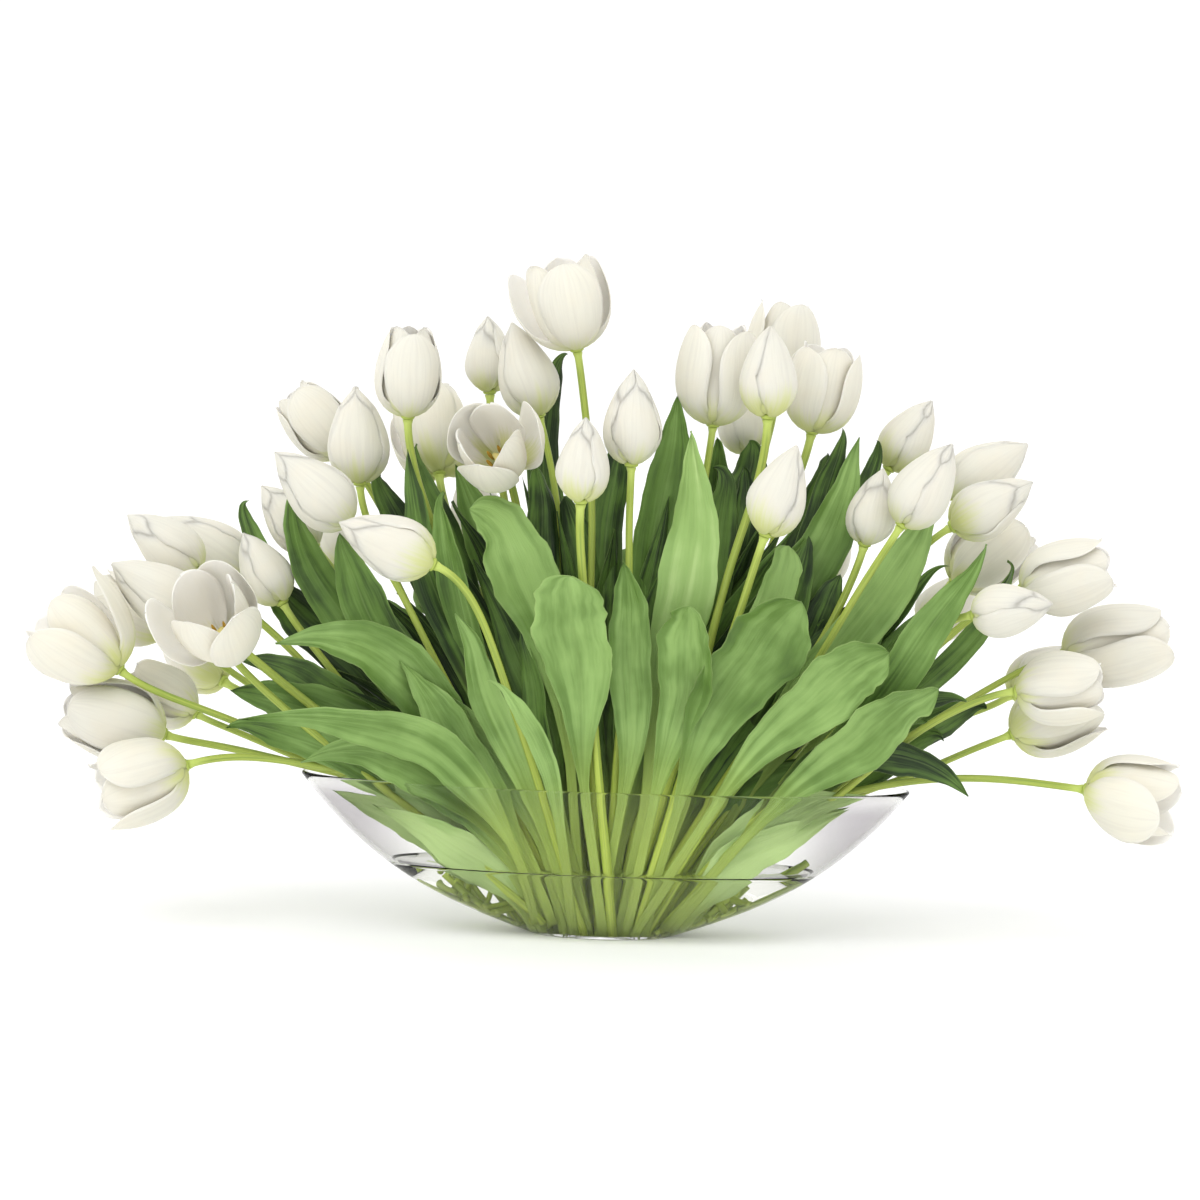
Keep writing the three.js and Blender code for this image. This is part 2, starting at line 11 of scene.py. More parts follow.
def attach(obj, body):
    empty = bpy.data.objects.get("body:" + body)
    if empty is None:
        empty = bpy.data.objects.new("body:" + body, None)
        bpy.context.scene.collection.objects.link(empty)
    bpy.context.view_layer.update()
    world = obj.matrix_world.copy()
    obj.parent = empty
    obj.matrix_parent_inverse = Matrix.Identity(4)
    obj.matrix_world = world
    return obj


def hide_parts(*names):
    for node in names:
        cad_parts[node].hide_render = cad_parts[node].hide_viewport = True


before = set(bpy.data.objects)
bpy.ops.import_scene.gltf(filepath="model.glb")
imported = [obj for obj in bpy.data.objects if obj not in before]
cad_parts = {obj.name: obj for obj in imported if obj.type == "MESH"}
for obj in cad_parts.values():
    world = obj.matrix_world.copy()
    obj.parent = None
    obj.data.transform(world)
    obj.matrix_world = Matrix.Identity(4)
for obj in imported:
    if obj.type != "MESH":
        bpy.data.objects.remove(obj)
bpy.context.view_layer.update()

METRE = 0.001

# The camera, from the photograph: which column and row the middle of the foot is at, how many
# millimetres a pixel covers there, how far away the camera is, and how many degrees it looks
# down and is rolled.
PHOTO = {
    "pixels": 1200, "pixel_size": 0.66, "foot_column": 612, "foot_row": 934.3,
    "distance": 2300, "above": 3.0, "roll": 2.0,
}
# The sky's brightness low down and overhead, and the key light; the table's size is in metres.
LIGHT = {
    "horizon": 1.1, "zenith": 0.95, "sun": 1.0, "sun_angle": 50, "sun_from": (-0.35, -0.75, 1.0),
    "table_size": 60, "table_drop": 0.0002, "bounces": 10, "diffuse_bounces": 3,
}

# Half the length and width of the oval foot and rim, how much of the bowl's profile is an even
# slope, and how thick the glass is at the floor and the lip.
BOWL = {
    "foot_length": 48, "foot_width": 34, "rim_length": 201, "rim_width": 75,
    "rim_height": 99.5, "straight": 0.52, "floor": 4, "lip": 2.6, "lip_crown": 0.9, "lip_steps": 8,
    "turns": 144, "levels": 40, "crowding": 1.15, "foot_rings": (0.01, 0.35, 0.7, 0.93),
}
# How far the water reaches into the glass, how high and how far in it is drawn up there, and
# how far from the glass the rings of its surface lie.
WATER = {
    "level": 43.5, "overlap": 0.25, "meniscus": 1.5, "reach": 1.6, "levels": 24,
    "surface": (0.7, 1.5, 2.6, 4.2, 7, 14, 26),
}

# Stems: the straight neck below the bloom, how far apart they stand (pitch), how steeply they
# leave the bowl, how much each one sways, and its part of the full radius (thinness).
STEM = {
    "radius": 2.8, "foot_radius": 3.3, "neck": 50, "pitch": 5.7, "rim_clearance": 118,
    "steepness": 1.6, "rise": 0.45, "sway": (1.5, 4), "sways": (0.8, 1.4), "thinness": (0.78, 1),
    "swell": 0.9, "sides": 12, "steps": 48,
}
# In the CAD a heel joins each bunch, and it sets how high the cut ends stand here too.
HEEL = {"margin": 1.6, "clear": 3.8, "gap": 0.4, "sunk": 2.1}

# Blooms: how far one lies off its stem, where its petals start, the length of a petal's curve
# for each millimetre of bloom, up to where a bloom is closed and from where it is wide open,
# how much further the first petal of a wide one has fallen, and the spin from one to the next.
BLOOM = {
    "gap": 0.3, "start": 2.2, "arc": 1.18, "steps": 60, "usual_length": 62,
    "closed": 0.1, "wide": 0.6, "fallen": 0.32, "spin": 47,
}
# The outer and the inner three petals: how far out they swell and how wide they are, against the
# outer ones, how high they start, how far half of one goes round the bloom at most, in radians,
# how far one side is tucked in, and the radius that a bud closes to.
OUTER = {
    "girth": 1, "width": 1, "lift": 1.4, "most_turn": 1.3, "closed_tuck": 0.024, "open_tuck": 0,
    "tip": 1.2,
}
INNER = {
    "girth": 0.84, "width": 0.92, "lift": 3.5, "most_turn": 1.1, "closed_tuck": 0.02,
    "open_tuck": 0.02, "tip": 0.4,
}
PETAL = {
    "half_width": 22.5, "thickness": 0.8, "edge": 0.3, "loose_from": 0.3, "rows": 22, "columns": 16,
}

# Leaves: how thick the blade, its edge and the sheath are, how wide the stalk is, at which part
# of the leaf the tables give its middle, and how much it twists, sways and droops.
LEAF = {
    "thickness": 1.0, "edge": 0.35, "sheath": 4.6, "stalk": 6.4, "tip": 0.15, "middle_at": 0.62,
    "twist": 28, "sway": 0.014, "droop": (-7, 5), "rows": 46, "columns": 14, "crowding": 1.15,
}

# How far the whole fan leans to the left, in degrees, and how far it has sunk from the places
# in the tables below.
FAN = {"lean": 0.5, "sunk": 1.7}

# Leaves in the middle of the fan, whose low light values give them the near-black painted shade
# of the leaf green: how far from the bowl their tips are (reaches) at each lean in degrees, how
# far to each side and back they stand on the floor of the bowl (spread, depth) and how much
# further back their tips are (deeper).
FILLING = {
    "count": 46, "pieces": 4, "spread": 44, "depth": (-6, 8), "deeper": 2.5, "height": 20,
    "leans": (-62, -45, -25, 0, 25, 45, 62), "reaches": (205, 270, 300, 290, 300, 285, 215),
    "width": (24, 38), "spoon": (0.1, 0.5), "turn": (-30, 30), "light": (0, 0.2), "fineness": 0.6,
}
# Short cut stalks in the water at both ends: where their feet are from the middle, how far out
# or back in their upper ends lie, and how high those are.
LOOSE = {
    "count": 36, "near": 34, "far": 96, "aside": (2, 14), "out": 56, "back": 36, "top": (26, 47),
    "radius": (1.7, 2.8), "bend": 4, "sag": 5, "room": 6, "clear": 3, "steps": 14,
}

SEEDS = {"bloom": 100, "stem": 300, "leaf": 500, "small_leaf": 600, "filling": 700, "loose": 800}

# Where each bunch stands on the floor of the bowl (x, y of its first row) and how many stalks
# stand side by side in a row. Front bunches have y below 0.
BUNCHES = {
    "front_far_left": (-36.3, -5.5, 3), "front_left": (-12.5, -5.5, 3), "front_middle": (4.6, -5.5, 3),
    "front_right": (21.6, -5.5, 3), "front_far_right": (43.4, -5.5, 3),
    "back_far_left": (-33.4, 5.5, 4), "back_left": (-7.4, 5.5, 4),
    "back_right": (15, 5.5, 4), "back_far_right": (42.4, 5.5, 4),
}

# Each bloom: bunch, place of its base (x, y, z), its lean from upright to the right and its
# lean towards the front in degrees, the length of its petals and how far it has opened.
TULIPS = [
    ("front_far_left", -317, -27, 169, -51, 5, 66, 0.66),
    ("front_far_left", -289, -8, 126, -73, 10, 70, 0.36),
    ("front_far_left", -270, -45, 111, -108, 15, 62, 0.6),
    ("front_far_left", -268, -15, 204, -59, 5, 68, 0.04),
    ("front_far_left", -244, -60, 187, -18, 50, 66, 0.66),
    ("front_left", -168, -35, 269, -48, 5, 69, 0.03),
    ("front_left", -135, -10, 338, 0, 5, 60, 0.3),
    ("front_left", -111, -85, 246, -67, 5, 67, 0.02),
    ("front_left", -70, -20, 307, -28, 62, 60, 0.62),
    ("front_middle", -20, -75, 287, 2, 5, 55, 0.03),
    ("front_middle", 12, -45, 311, 0, 0, 63, 0.03),
    ("front_middle", -25, -5, 385, -12, 5, 63, 0.62),
    ("front_middle", 65, -5, 338, 4, 5, 68, 0.42),
    ("front_right", 99, -48, 344, 0, 5, 60, 0.03),
    ("front_right", 98, -70, 269, 18, 5, 62, 0.02),
    ("front_right", 165, -25, 263, 12, 5, 52, 0.02),
    ("front_right", 186, -52, 277, 30, 5, 63, 0.04),
    ("front_right", 222, -10, 276, 59, 5, 62, 0.03),
    ("front_far_right", 233, -60, 222, 78, 30, 56, 0.04),
    ("front_far_right", 268, -15, 236, 72, 10, 62, 0.46),
    ("front_far_right", 264, -40, 172, 82, 10, 57, 0.46),
    ("front_far_right", 313, -25, 108, 95, 15, 63, 0.62),
    ("back_far_left", -273, 28, 137, -62, 0, 52, 0.36),
    ("back_far_left", -293, 45, 191, -63, 0, 60, 0.46),
    ("back_far_left", -272, 25, 233, -54, 0, 62, 0.03),
    ("back_far_left", -244, 75, 226, -56, 0, 74, 0.04),
    ("back_far_left", -216, 15, 213, -31, 0, 54, 0.02),
    ("back_far_left", -262, 92, 154, -60, -25, 60, 0.06),
    ("back_left", -197, 40, 249, -42, 0, 56, 0.03),
    ("back_left", -180, 60, 313, -44, 0, 56, 0.4),
    ("back_left", -167, 15, 293, -4, 0, 66, 0.08),
    ("back_left", -117, 65, 300, -10, -35, 66, 0.62),
    ("back_left", -84, 60, 356, -3, 0, 52, 0.04),
    ("back_left", -49, 15, 341, -18, 0, 66, 0.03),
    ("back_left", -175, 110, 232, -32, -30, 62, 0.05),
    ("back_left", -88, 120, 252, -14, -30, 62, 0.04),
    ("back_right", 91, 75, 319, -9, 0, 54, 0.03),
    ("back_right", 110, 70, 358, 7, 0, 65, 0.36),
    ("back_right", 131, 15, 335, 10, 5, 60, 0.55),
    ("back_right", 184, 40, 312, 31, 0, 55, 0.03),
    ("back_right", -14, 122, 222, 3, -30, 62, 0.05),
    ("back_right", 58, 118, 258, 12, -30, 62, 0.04),
    ("back_right", 138, 112, 230, 26, -30, 62, 0.05),
    ("back_far_right", 223, 35, 296, 56, 0, 65, 0.04),
    ("back_far_right", 231, 55, 236, 48, 0, 62, 0.46),
    ("back_far_right", 302, 25, 192, 77, 0, 73, 0.42),
    ("back_far_right", 268, 10, 139, 67, 0, 63, 0.46),
    ("back_far_right", 216, 95, 198, 42, -25, 62, 0.05),
    ("back_far_right", 276, 80, 160, 58, -20, 62, 0.06),
]

# Each leaf: bunch, a place on its middle line three fifths of the way along, its tip, its width,
# how far up it is broadest (1 is a spoon, 0 is a blade), the turn of its face in degrees and
# how light a green it is, from 0 to 1 or a little more. Besides the leaf's own green, low values
# are painted shade for leaves deep in the fan and values above 1 painted light for leaves in
# the water.
LEAVES = [
    ("front_far_left", (-140, -48, 179), (-215, -56, 194), 40, 0.5, 25, 0.5),
    ("front_far_left", (-181, 4, 153), (-243, 8, 174), 34, 0.5, 30, 0.25),
    ("front_far_left", (-132, -70, 135), (-235, -76, 145), 34, 0.4, -20, 0.6),
    ("front_far_left", (-196, -36, 129), (-248, -37, 134), 26, 0.4, 20, 0.35),
    ("front_far_left", (-132, -50, 120), (-196, -50, 114), 38, 0.4, 30, 0.6),
    ("front_far_left", (-106, -20, 66), (-178, -8, 93), 32, 0.5, 10, 1.3),
    ("front_left", (-54, -40, 242), (-92, -42, 282), 46, 0.7, 20, 0.8),
    ("front_left", (-154, -20, 213), (-178, -18, 263), 36, 0.4, -25, 0.4),
    ("front_left", (-79, -55, 172), (-97, -62, 215), 24, 0.3, 20, 0.8),
    ("front_left", (-49, -35, 164), (-58, -38, 215), 20, 0.2, -40, 0.2),
    ("front_far_left", (-100, -50, 138), (-134, -48, 183), 32, 0.4, 30, 0.6),
    ("front_middle", (-22, -62, 187), (-24, -80, 242), 50, 1, 0, 0.7),
    ("front_middle", (16, -50, 187), (8, -62, 250), 30, 0.6, 15, 0.5),
    ("front_right", (49, -58, 180), (52, -72, 224), 40, 0.8, -20, 0.5),
    ("front_middle", (36, -8, 277), (41, -12, 358), 33, 0.5, 10, 0.42),
    ("front_middle", (51, -34, 252), (47, -44, 334), 40, 0.45, -15, 1.0),
    ("front_right", (83, -60, 176), (122, -80, 230), 54, 0.9, 10, 0.5),
    ("front_right", (131, -70, 165), (178, -88, 197), 45, 0.9, 15, 0.6),
    ("front_right", (129, -6, 240), (163, -3, 334), 42, 0.4, -10, 0.5),
    ("front_right", (177, -24, 235), (213, -24, 292), 36, 0.4, 15, 0.85),
    ("front_far_right", (164, -60, 143), (213, -70, 173), 40, 0.8, 20, 0.6),
    ("front_far_right", (174, -35, 128), (238, -30, 103), 30, 0.5, 40, 0.1),
    ("front_far_right", (204, -62, 206), (241, -64, 268), 30, 0.35, -15, 0.35),
    ("back_far_right", (246, 14, 213), (264, 20, 254), 20, 0.3, 20, 0.3),
    ("front_far_right", (98, -12, 62), (162, -8, 91), 18, 0.5, 0, 1.3),
    ("back_far_left", (-190, 10, 231), (-210, 12, 292), 30, 0.4, 20, 0.3),
    ("back_far_left", (-230, 44, 240), (-243, 46, 281), 20, 0.3, -20, 0.3),
    ("back_far_left", (-199, 30, 202), (-226, 35, 221), 34, 0.5, 20, 0.1),
    ("back_left", (-140, 62, 185), (-196, 84, 205), 44, 0.7, 10, 0.4),
    ("back_left", (-42, 30, 327), (-34, 40, 386), 26, 0.3, 20, 0.1),
    ("back_left", (-6, 15, 248), (1, 20, 301), 30, 0.4, -20, 0.1),
    ("back_left", (-142, 35, 264), (-156, 42, 300), 26, 0.3, 15, 0.1),
    ("back_left", (-120, 40, 271), (-131, 45, 321), 26, 0.3, -15, 0.2),
    ("back_left", (-79, 8, 247), (-104, 10, 309), 34, 0.4, 10, 0.4),
    ("back_left", (-96, 60, 190), (-126, 84, 240), 46, 0.9, -10, 0.5),
    ("back_left", (-50, 60, 205), (-62, 88, 262), 42, 0.8, 10, 0.6),
    ("back_right", (132, 25, 270), (144, 36, 324), 34, 0.4, 20, 0.1),
    ("back_right", (88, 30, 277), (91, 35, 330), 34, 0.5, -15, 0.1),
    ("back_right", (14, 60, 195), (14, 86, 252), 46, 0.9, 10, 0.5),
    ("back_right", (92, 60, 180), (124, 82, 226), 46, 0.9, 15, 0.6),
    ("back_far_right", (196, 22, 127), (225, 27, 133), 22, 0.4, -20, 0.2),
    ("back_far_right", (218, 30, 143), (255, 35, 156), 26, 0.4, 20, 0.2),
    ("back_far_right", (140, 60, 168), (186, 84, 194), 46, 0.8, 10, 0.5),
    ("back_far_right", (158, 62, 148), (214, 76, 160), 40, 0.6, -20, 0.5),
]

# Smaller leaves tucked in between: bunch, where the stalk stands on the floor (x, y), then the
# same values as above.
MORE_LEAVES = [
    ("front_left", (-17, -17), (-50, -78, 147), (-75, -82, 171), 15, 0.3, 10, 0.85),
    ("front_left", (-22, -14), (-84, -38, 137), (-128, -34, 160), 28, 0.4, -15, 0.7),
    ("front_far_left", (-36, -14), (-116, -40, 106), (-182, -30, 128), 30, 0.35, 15, 0.55),
    ("front_left", (-20, -4), (-117, -20, 247), (-134, -20, 319), 26, 0.3, 15, 0.15),
    ("front_left", (-12, -4), (-104, -25, 241), (-111, -25, 293), 24, 0.3, -30, 0.4),
    ("front_middle", (-4, 3), (-23, 8, 248), (-32, 8, 290), 28, 0.4, 15, 0.15),
    ("front_right", (18, 0), (76, 0, 271), (66, 0, 312), 26, 0.4, 20, 0.2),
    ("front_right", (22, -14), (102, -44, 221), (116, -44, 264), 26, 0.7, 15, 0.95),
    ("front_right", (26, 0), (138, 5, 279), (151, 5, 340), 24, 0.3, 10, 0.1),
    ("front_right", (28, 0), (159, 15, 284), (175, 15, 332), 20, 0.3, -10, 0.25),
    ("front_left", (-8, 2), (-45, 0, 268), (-51, 0, 308), 26, 0.3, 20, 0.1),
    ("back_left", (-6, 8), (-10, 12, 262), (-12, 14, 300), 30, 0.3, -15, 0.05),
    ("back_right", (4, 8), (1, 12, 284), (6, 12, 340), 28, 0.3, 10, 0.15),
    ("back_right", (12, 8), (67, 8, 284), (68, 6, 332), 24, 0.3, -20, 0.2),
    ("back_right", (16, 8), (84, 12, 268), (86, 12, 312), 24, 0.3, 15, 0.1),
    ("front_far_right", (44, -3), (186, -5, 221), (224, -5, 250), 15, 0.2, 20, 0.3),
    ("front_far_right", (48, -3), (193, -8, 201), (227, -8, 222), 15, 0.2, -20, 0.35),
    ("front_far_right", (46, -8), (190, -20, 150), (236, -20, 165), 24, 0.4, 20, 0.15),
    ("front_far_right", (50, -6), (168, -10, 138), (215, -10, 147), 22, 0.4, -15, 0.1),
    ("front_far_left", (-34, -2), (-176, -8, 133), (-248, -4, 156), 44, 0.5, 15, 0.4),
    ("front_far_left", (-42, -12), (-92, -34, 60), (-150, -38, 88), 30, 0.4, 10, 1.45),
    ("front_far_right", (52, -10), (100, -30, 60), (160, -26, 90), 30, 0.4, -10, 1.6),
    ("front_far_left", (-38, -10), (-106, -26, 84), (-178, -30, 103), 34, 0.4, 15, 1.3),
    ("front_far_right", (48, -10), (112, -24, 82), (178, -24, 101), 34, 0.4, -15, 1.5),
    ("front_right", (30, -3), (130, -14, 200), (151, -14, 244), 28, 0.5, 10, 0.1),
    ("front_right", (32, -3), (118, -14, 222), (130, -14, 270), 24, 0.4, -15, 0.15),
    ("front_far_right", (40, -3), (160, -14, 196), (196, -14, 240), 26, 0.4, 15, 0.2),
]


# Sums

def mix(a, b, share):
    return a + (b - a) * share


def smoothstep(share, low, high):
    part = np.clip((share - low) / (high - low), 0, 1)
    return part * part * (3 - 2 * part)


def unit(vectors):
    return vectors / np.linalg.norm(vectors, axis=-1, keepdims=True)


def circle(sides):
    """Even angles once round."""
    return 2 * np.pi * np.arange(sides) / sides


def round_ring(radius, height, turns):
    return np.stack([radius * np.cos(turns), radius * np.sin(turns), height + 0 * turns], -1)


def shrunk(ring, shares):
    """Level copies of a ring, drawn in towards the middle."""
    return [ring * (share, share, 1) for share in shares]


def eased(steps, start=0):
    """Shares from start to 1, closer together near 1 and -1."""
    return np.sin(0.5 * np.pi * np.linspace(start, 1, steps + 1))


def bezier(points, share):
    """Places on a Bezier curve of any order."""
    order = len(points) - 1
    share = np.asarray(share)[:, None]
    return sum(
        math.comb(order, i) * share ** i * (1 - share) ** (order - i) * np.asarray(point, float)
        for i, point in enumerate(points)
    )


def tangents(points):
    return unit(np.gradient(points, axis=0))


def settled(x, y, z):
    """A place of the fan once it leans and has sunk."""
    lean = math.radians(FAN["lean"])
    height = z - FAN["sunk"]
    return np.array((
        x * math.cos(lean) - height * math.sin(lean), y, x * math.sin(lean) + height * math.cos(lean),
    ))


def chance_of(kind, number=0):
    """Draws of its own for each thing, so that a change to one leaves the others alone."""
    return random.Random(SEEDS[kind] + number)


def wave(chance, least, most, angle):
    """A wave of a random size that starts anywhere."""
    return chance.uniform(least, most) * np.sin(angle + chance.uniform(0, 6))


# Meshes

def new_object(name, data):
    made = bpy.data.objects.new(name, data)
    bpy.context.scene.collection.objects.link(made)
    return made


class Shell:
    """Closed skins that become one mesh, with named numbers on its points for the materials."""

    def __init__(self):
        self.points = []
        self.faces = []
        self.materials = []
        self.values = {"along": [], "across": [], "inside": [], "tone": []}
        self.count = 0

    def add(self, rings, material=0, **values):
        """A skin through rings of points, each closed on itself, with its two ends filled."""
        rows, sides = rings.shape[:2]
        start = self.count
        for row in range(rows - 1):
            low = start + row * sides
            for i in range(sides):
                j = (i + 1) % sides
                self.faces.append((low + i, low + j, low + j + sides, low + i + sides))
        top = start + (rows - 1) * sides
        half = sides // 2
        for i in range(half - 1):
            self.faces.append((start + i + 1, start + i, start + sides - 1 - i, start + sides - 2 - i))
            self.faces.append((top + i, top + i + 1, top + sides - 2 - i, top + sides - 1 - i))
        self.materials += [material] * (len(self.faces) - len(self.materials))
        self.points.append(rings.reshape(-1, 3))
        for name, held in self.values.items():
            value = np.broadcast_to(values.get(name, 0.0), (rows, sides))
            held.append(value.reshape(-1))
        self.count += rows * sides

    def add_sheet(self, middle, offset, share, side, tone):
        """A thin sheet, in rings across its outer face and back across its inner one."""
        wide = np.broadcast_to(side, middle.shape[:2])
        rings = np.concatenate([middle + offset, (middle - offset)[:, ::-1]], axis=1)
        across = np.concatenate([wide, wide[:, ::-1]], axis=1)
        inside = np.concatenate([np.zeros_like(wide), np.ones_like(wide)], axis=1)
        self.add(rings, along=share, across=across, inside=inside, tone=tone)

    def piece(self, name, materials, slot, nodes):
        mesh = bpy.data.meshes.new(name)
        mesh.from_pydata(np.concatenate(self.points) * METRE, [], self.faces)
        for value, held in self.values.items():
            layer = mesh.attributes.new(value, "FLOAT", "POINT")
            layer.data.foreach_set("value", np.concatenate(held).astype(np.float32))
        for material in materials:
            mesh.materials.append(material)
        mesh.polygons.foreach_set("material_index", self.materials)
        mesh.shade_smooth()
        mesh.update()
        made = new_object(name, mesh)
        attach(made, "root")
        if nodes:
            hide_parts(*nodes)


def tube_rings(points, radii, sides):
    """Rings square to a line, carried along it without twisting."""
    along = tangents(points)
    side = np.cross(along[0], (0.0, 1.0, 0.3))
    turns = circle(sides)[:, None]
    rings = []
    for point, forward, radius in zip(points, along, radii):
        side = unit(side - forward * (side @ forward))
        other = np.cross(forward, side)
        rings.append(point + radius * (np.cos(turns) * side + np.sin(turns) * other))
    return np.array(rings)


# Bowl and water

def wall_height(rise):
    """The wall is an even slope at first and steepens towards the rim."""
    return BOWL["rim_height"] * mix(rise ** 3, rise, BOWL["straight"])


def bowl_outside(rise, angle):
    return np.stack([
        mix(BOWL["foot_length"], BOWL["rim_length"], rise) * np.cos(angle),
        mix(BOWL["foot_width"], BOWL["rim_width"], rise) * np.sin(angle),
        wall_height(rise) + 0 * angle,
    ], -1)


def bowl_up(rise, angle):
    """Up along the wall and round it, from a place on the outside of the bowl."""
    step = 1e-4
    start = np.maximum(rise, step)
    here = bowl_outside(start, angle)
    return bowl_outside(start + step, angle) - here, bowl_outside(start, angle + step) - here


def bowl_inside(rise, angle, depth=0.0):
    inward = unit(np.cross(*bowl_up(rise, angle)))
    wall = mix(BOWL["floor"], BOWL["lip"], rise) + depth
    return bowl_outside(rise, angle) + inward * np.asarray(wall)[..., None]


def glass_bowl(material):
    angle = circle(BOWL["turns"])
    rises = np.linspace(0, 1, BOWL["levels"] + 1) ** BOWL["crowding"]
    outside = [bowl_outside(rise + 0 * angle, angle) for rise in rises]
    inside = [bowl_inside(rise + 0 * angle, angle) for rise in rises[::-1]]
    middle, half = (outside[-1] + inside[0]) / 2, (outside[-1] - inside[0]) / 2
    up = unit(bowl_up(1 + 0 * angle, angle)[0]) * np.linalg.norm(half, axis=1)[:, None]
    lip = [
        middle + half * math.cos(turn) + BOWL["lip_crown"] * up * math.sin(turn)
        for turn in np.linspace(0, math.pi, BOWL["lip_steps"] + 1)[1:-1]
    ]
    under = shrunk(outside[0], BOWL["foot_rings"])
    over = shrunk(inside[-1], BOWL["foot_rings"][::-1])
    shell = Shell()
    shell.add(np.array(under + outside + lip + inside + over))
    shell.piece("glass_bowl_clear", [material], "bowl_glass", ["glass_bowl"])


def still_water(material):
    """Water up to its level, drawn up a little where it meets the glass."""
    angle = circle(BOWL["turns"])
    depth = -WATER["overlap"]
    tries = np.linspace(0, 1, 400)
    heights = bowl_inside(*np.meshgrid(tries, angle), depth)[..., 2]
    top = np.array([np.interp(WATER["level"] + WATER["meniscus"], height, tries) for height in heights])
    wall = [bowl_inside(share * top, angle, depth) for share in np.linspace(0, 1, WATER["levels"] + 1)]
    out = np.linalg.norm(wall[-1][:, :2], axis=1)
    surface = []
    for inward in WATER["surface"]:
        ring = wall[-1] * ((out - inward) / out)[:, None]
        ring[:, 2] = WATER["level"] + WATER["meniscus"] * math.exp(-inward / WATER["reach"])
        surface.append(ring)
    under, over = shrunk(wall[0], (0.01, 0.5, 0.9)), shrunk(surface[-1], (0.6, 0.25, 0.01))
    shell = Shell()
    shell.add(np.array(under + wall + surface + over))
    shell.piece("water_still", [material], "clear_water", ["water"])


# Places of the stalks

def floor_height(x, y):
    rise = 0.0
    while (x / mix(BOWL["foot_length"], BOWL["rim_length"], rise)) ** 2 \
            + (y / mix(BOWL["foot_width"], BOWL["rim_width"], rise)) ** 2 > 1:
        rise += 0.005
    return BOWL["floor"] + wall_height(rise)


def on_floor(foot):
    """Where a stalk stands whose place on the floor (x, y) is given."""
    return np.array((*foot, floor_height(*np.abs(foot)) + HEEL["sunk"]), float)


def standing_places(bunch, ends):
    """Where each stalk of a bunch stands: in rows from the middle of the bowl outwards."""
    x, y, columns = BUNCHES[bunch]
    outward = sorted(range(len(ends)), key=lambda i: abs(ends[i][1]))
    places = [None] * len(ends)
    for row in range(math.ceil(len(ends) / columns)):
        fanned = sorted(outward[row * columns:(row + 1) * columns], key=lambda i: ends[i][0] / ends[i][2])
        for column, item in enumerate(fanned):
            places[item] = (
                x + (column - (len(fanned) - 1) / 2) * STEM["pitch"],
                y + math.copysign(row * STEM["pitch"], y),
            )
    room = HEEL["margin"] + HEEL["clear"]
    floor = max(floor_height(abs(px) + room, abs(py) + room) for px, py in places)
    height = floor + HEEL["gap"] + HEEL["sunk"]
    return [np.array((px, py, height)) for px, py in places]


def head_direction(lean, forward):
    lean, forward = math.radians(lean - FAN["lean"]), math.radians(forward)
    return np.array((
        math.sin(lean) * math.cos(forward), -math.sin(forward), math.cos(lean) * math.cos(forward),
    ))


# Stems

def stem_line(start, end, direction, share):
    """Steep out of the bowl, so that it clears the rim, then over into the line of the bloom."""
    chord = end - start
    reach = math.hypot(end[0] / BOWL["rim_length"], end[1] / BOWL["rim_width"])
    steep = min(1, end[2] / reach / STEM["rim_clearance"]) ** STEM["steepness"]
    first = np.array((chord[0] * steep, chord[1] * steep, 0))
    first[2] = math.sqrt(chord @ chord - first @ first)
    return bezier([start, start + STEM["rise"] * first, end - STEM["neck"] * direction, end], share)


def stem(shell, start, end, direction, chance):
    share = np.linspace(0, 1, STEM["steps"] + 1)
    points = stem_line(start, end, direction, share)
    size, sways = chance.uniform(*STEM["sway"]), chance.uniform(*STEM["sways"])
    sway = size * np.sin(2 * np.pi * share * sways + chance.uniform(0, 6)) * np.sin(np.pi * share) ** 2
    side = unit(np.cross(direction, (0.3, 1, 0.2)))
    points = points + sway[:, None] * side
    points[0, 2] -= HEEL["sunk"]
    radius = mix(STEM["foot_radius"], STEM["radius"], smoothstep(share, 0, 0.5))
    radius = radius * chance.uniform(*STEM["thinness"]) + STEM["swell"] * smoothstep(share, 0.975, 1)
    rings = tube_rings(points, radius, STEM["sides"])
    across = np.cos(circle(STEM["sides"]))
    shell.add(rings, along=share[:, None], across=across, tone=chance.random())


# Leaves

def leaf_half_width(share, width, spoon):
    """A narrow stalk that widens into the blade, which ends in a point or, on a spoon, bluntly."""
    widened = mix(1.2, 1.03, spoon) / (1 + np.exp((mix(0.24, 0.46, spoon) - share) / 0.09))
    ended = (1 - share ** mix(2.2, 12, spoon ** 2)) ** mix(1.25, 0.5, spoon ** 1.5)
    stalk = (LEAF["stalk"] / 2) * (1 - share ** 4)
    half = np.maximum(np.maximum(stalk, (width / 2) * widened * ended), LEAF["tip"])
    return half * (1 - 0.3 * (1 - spoon) * smoothstep(share, 0.68, 0.93))


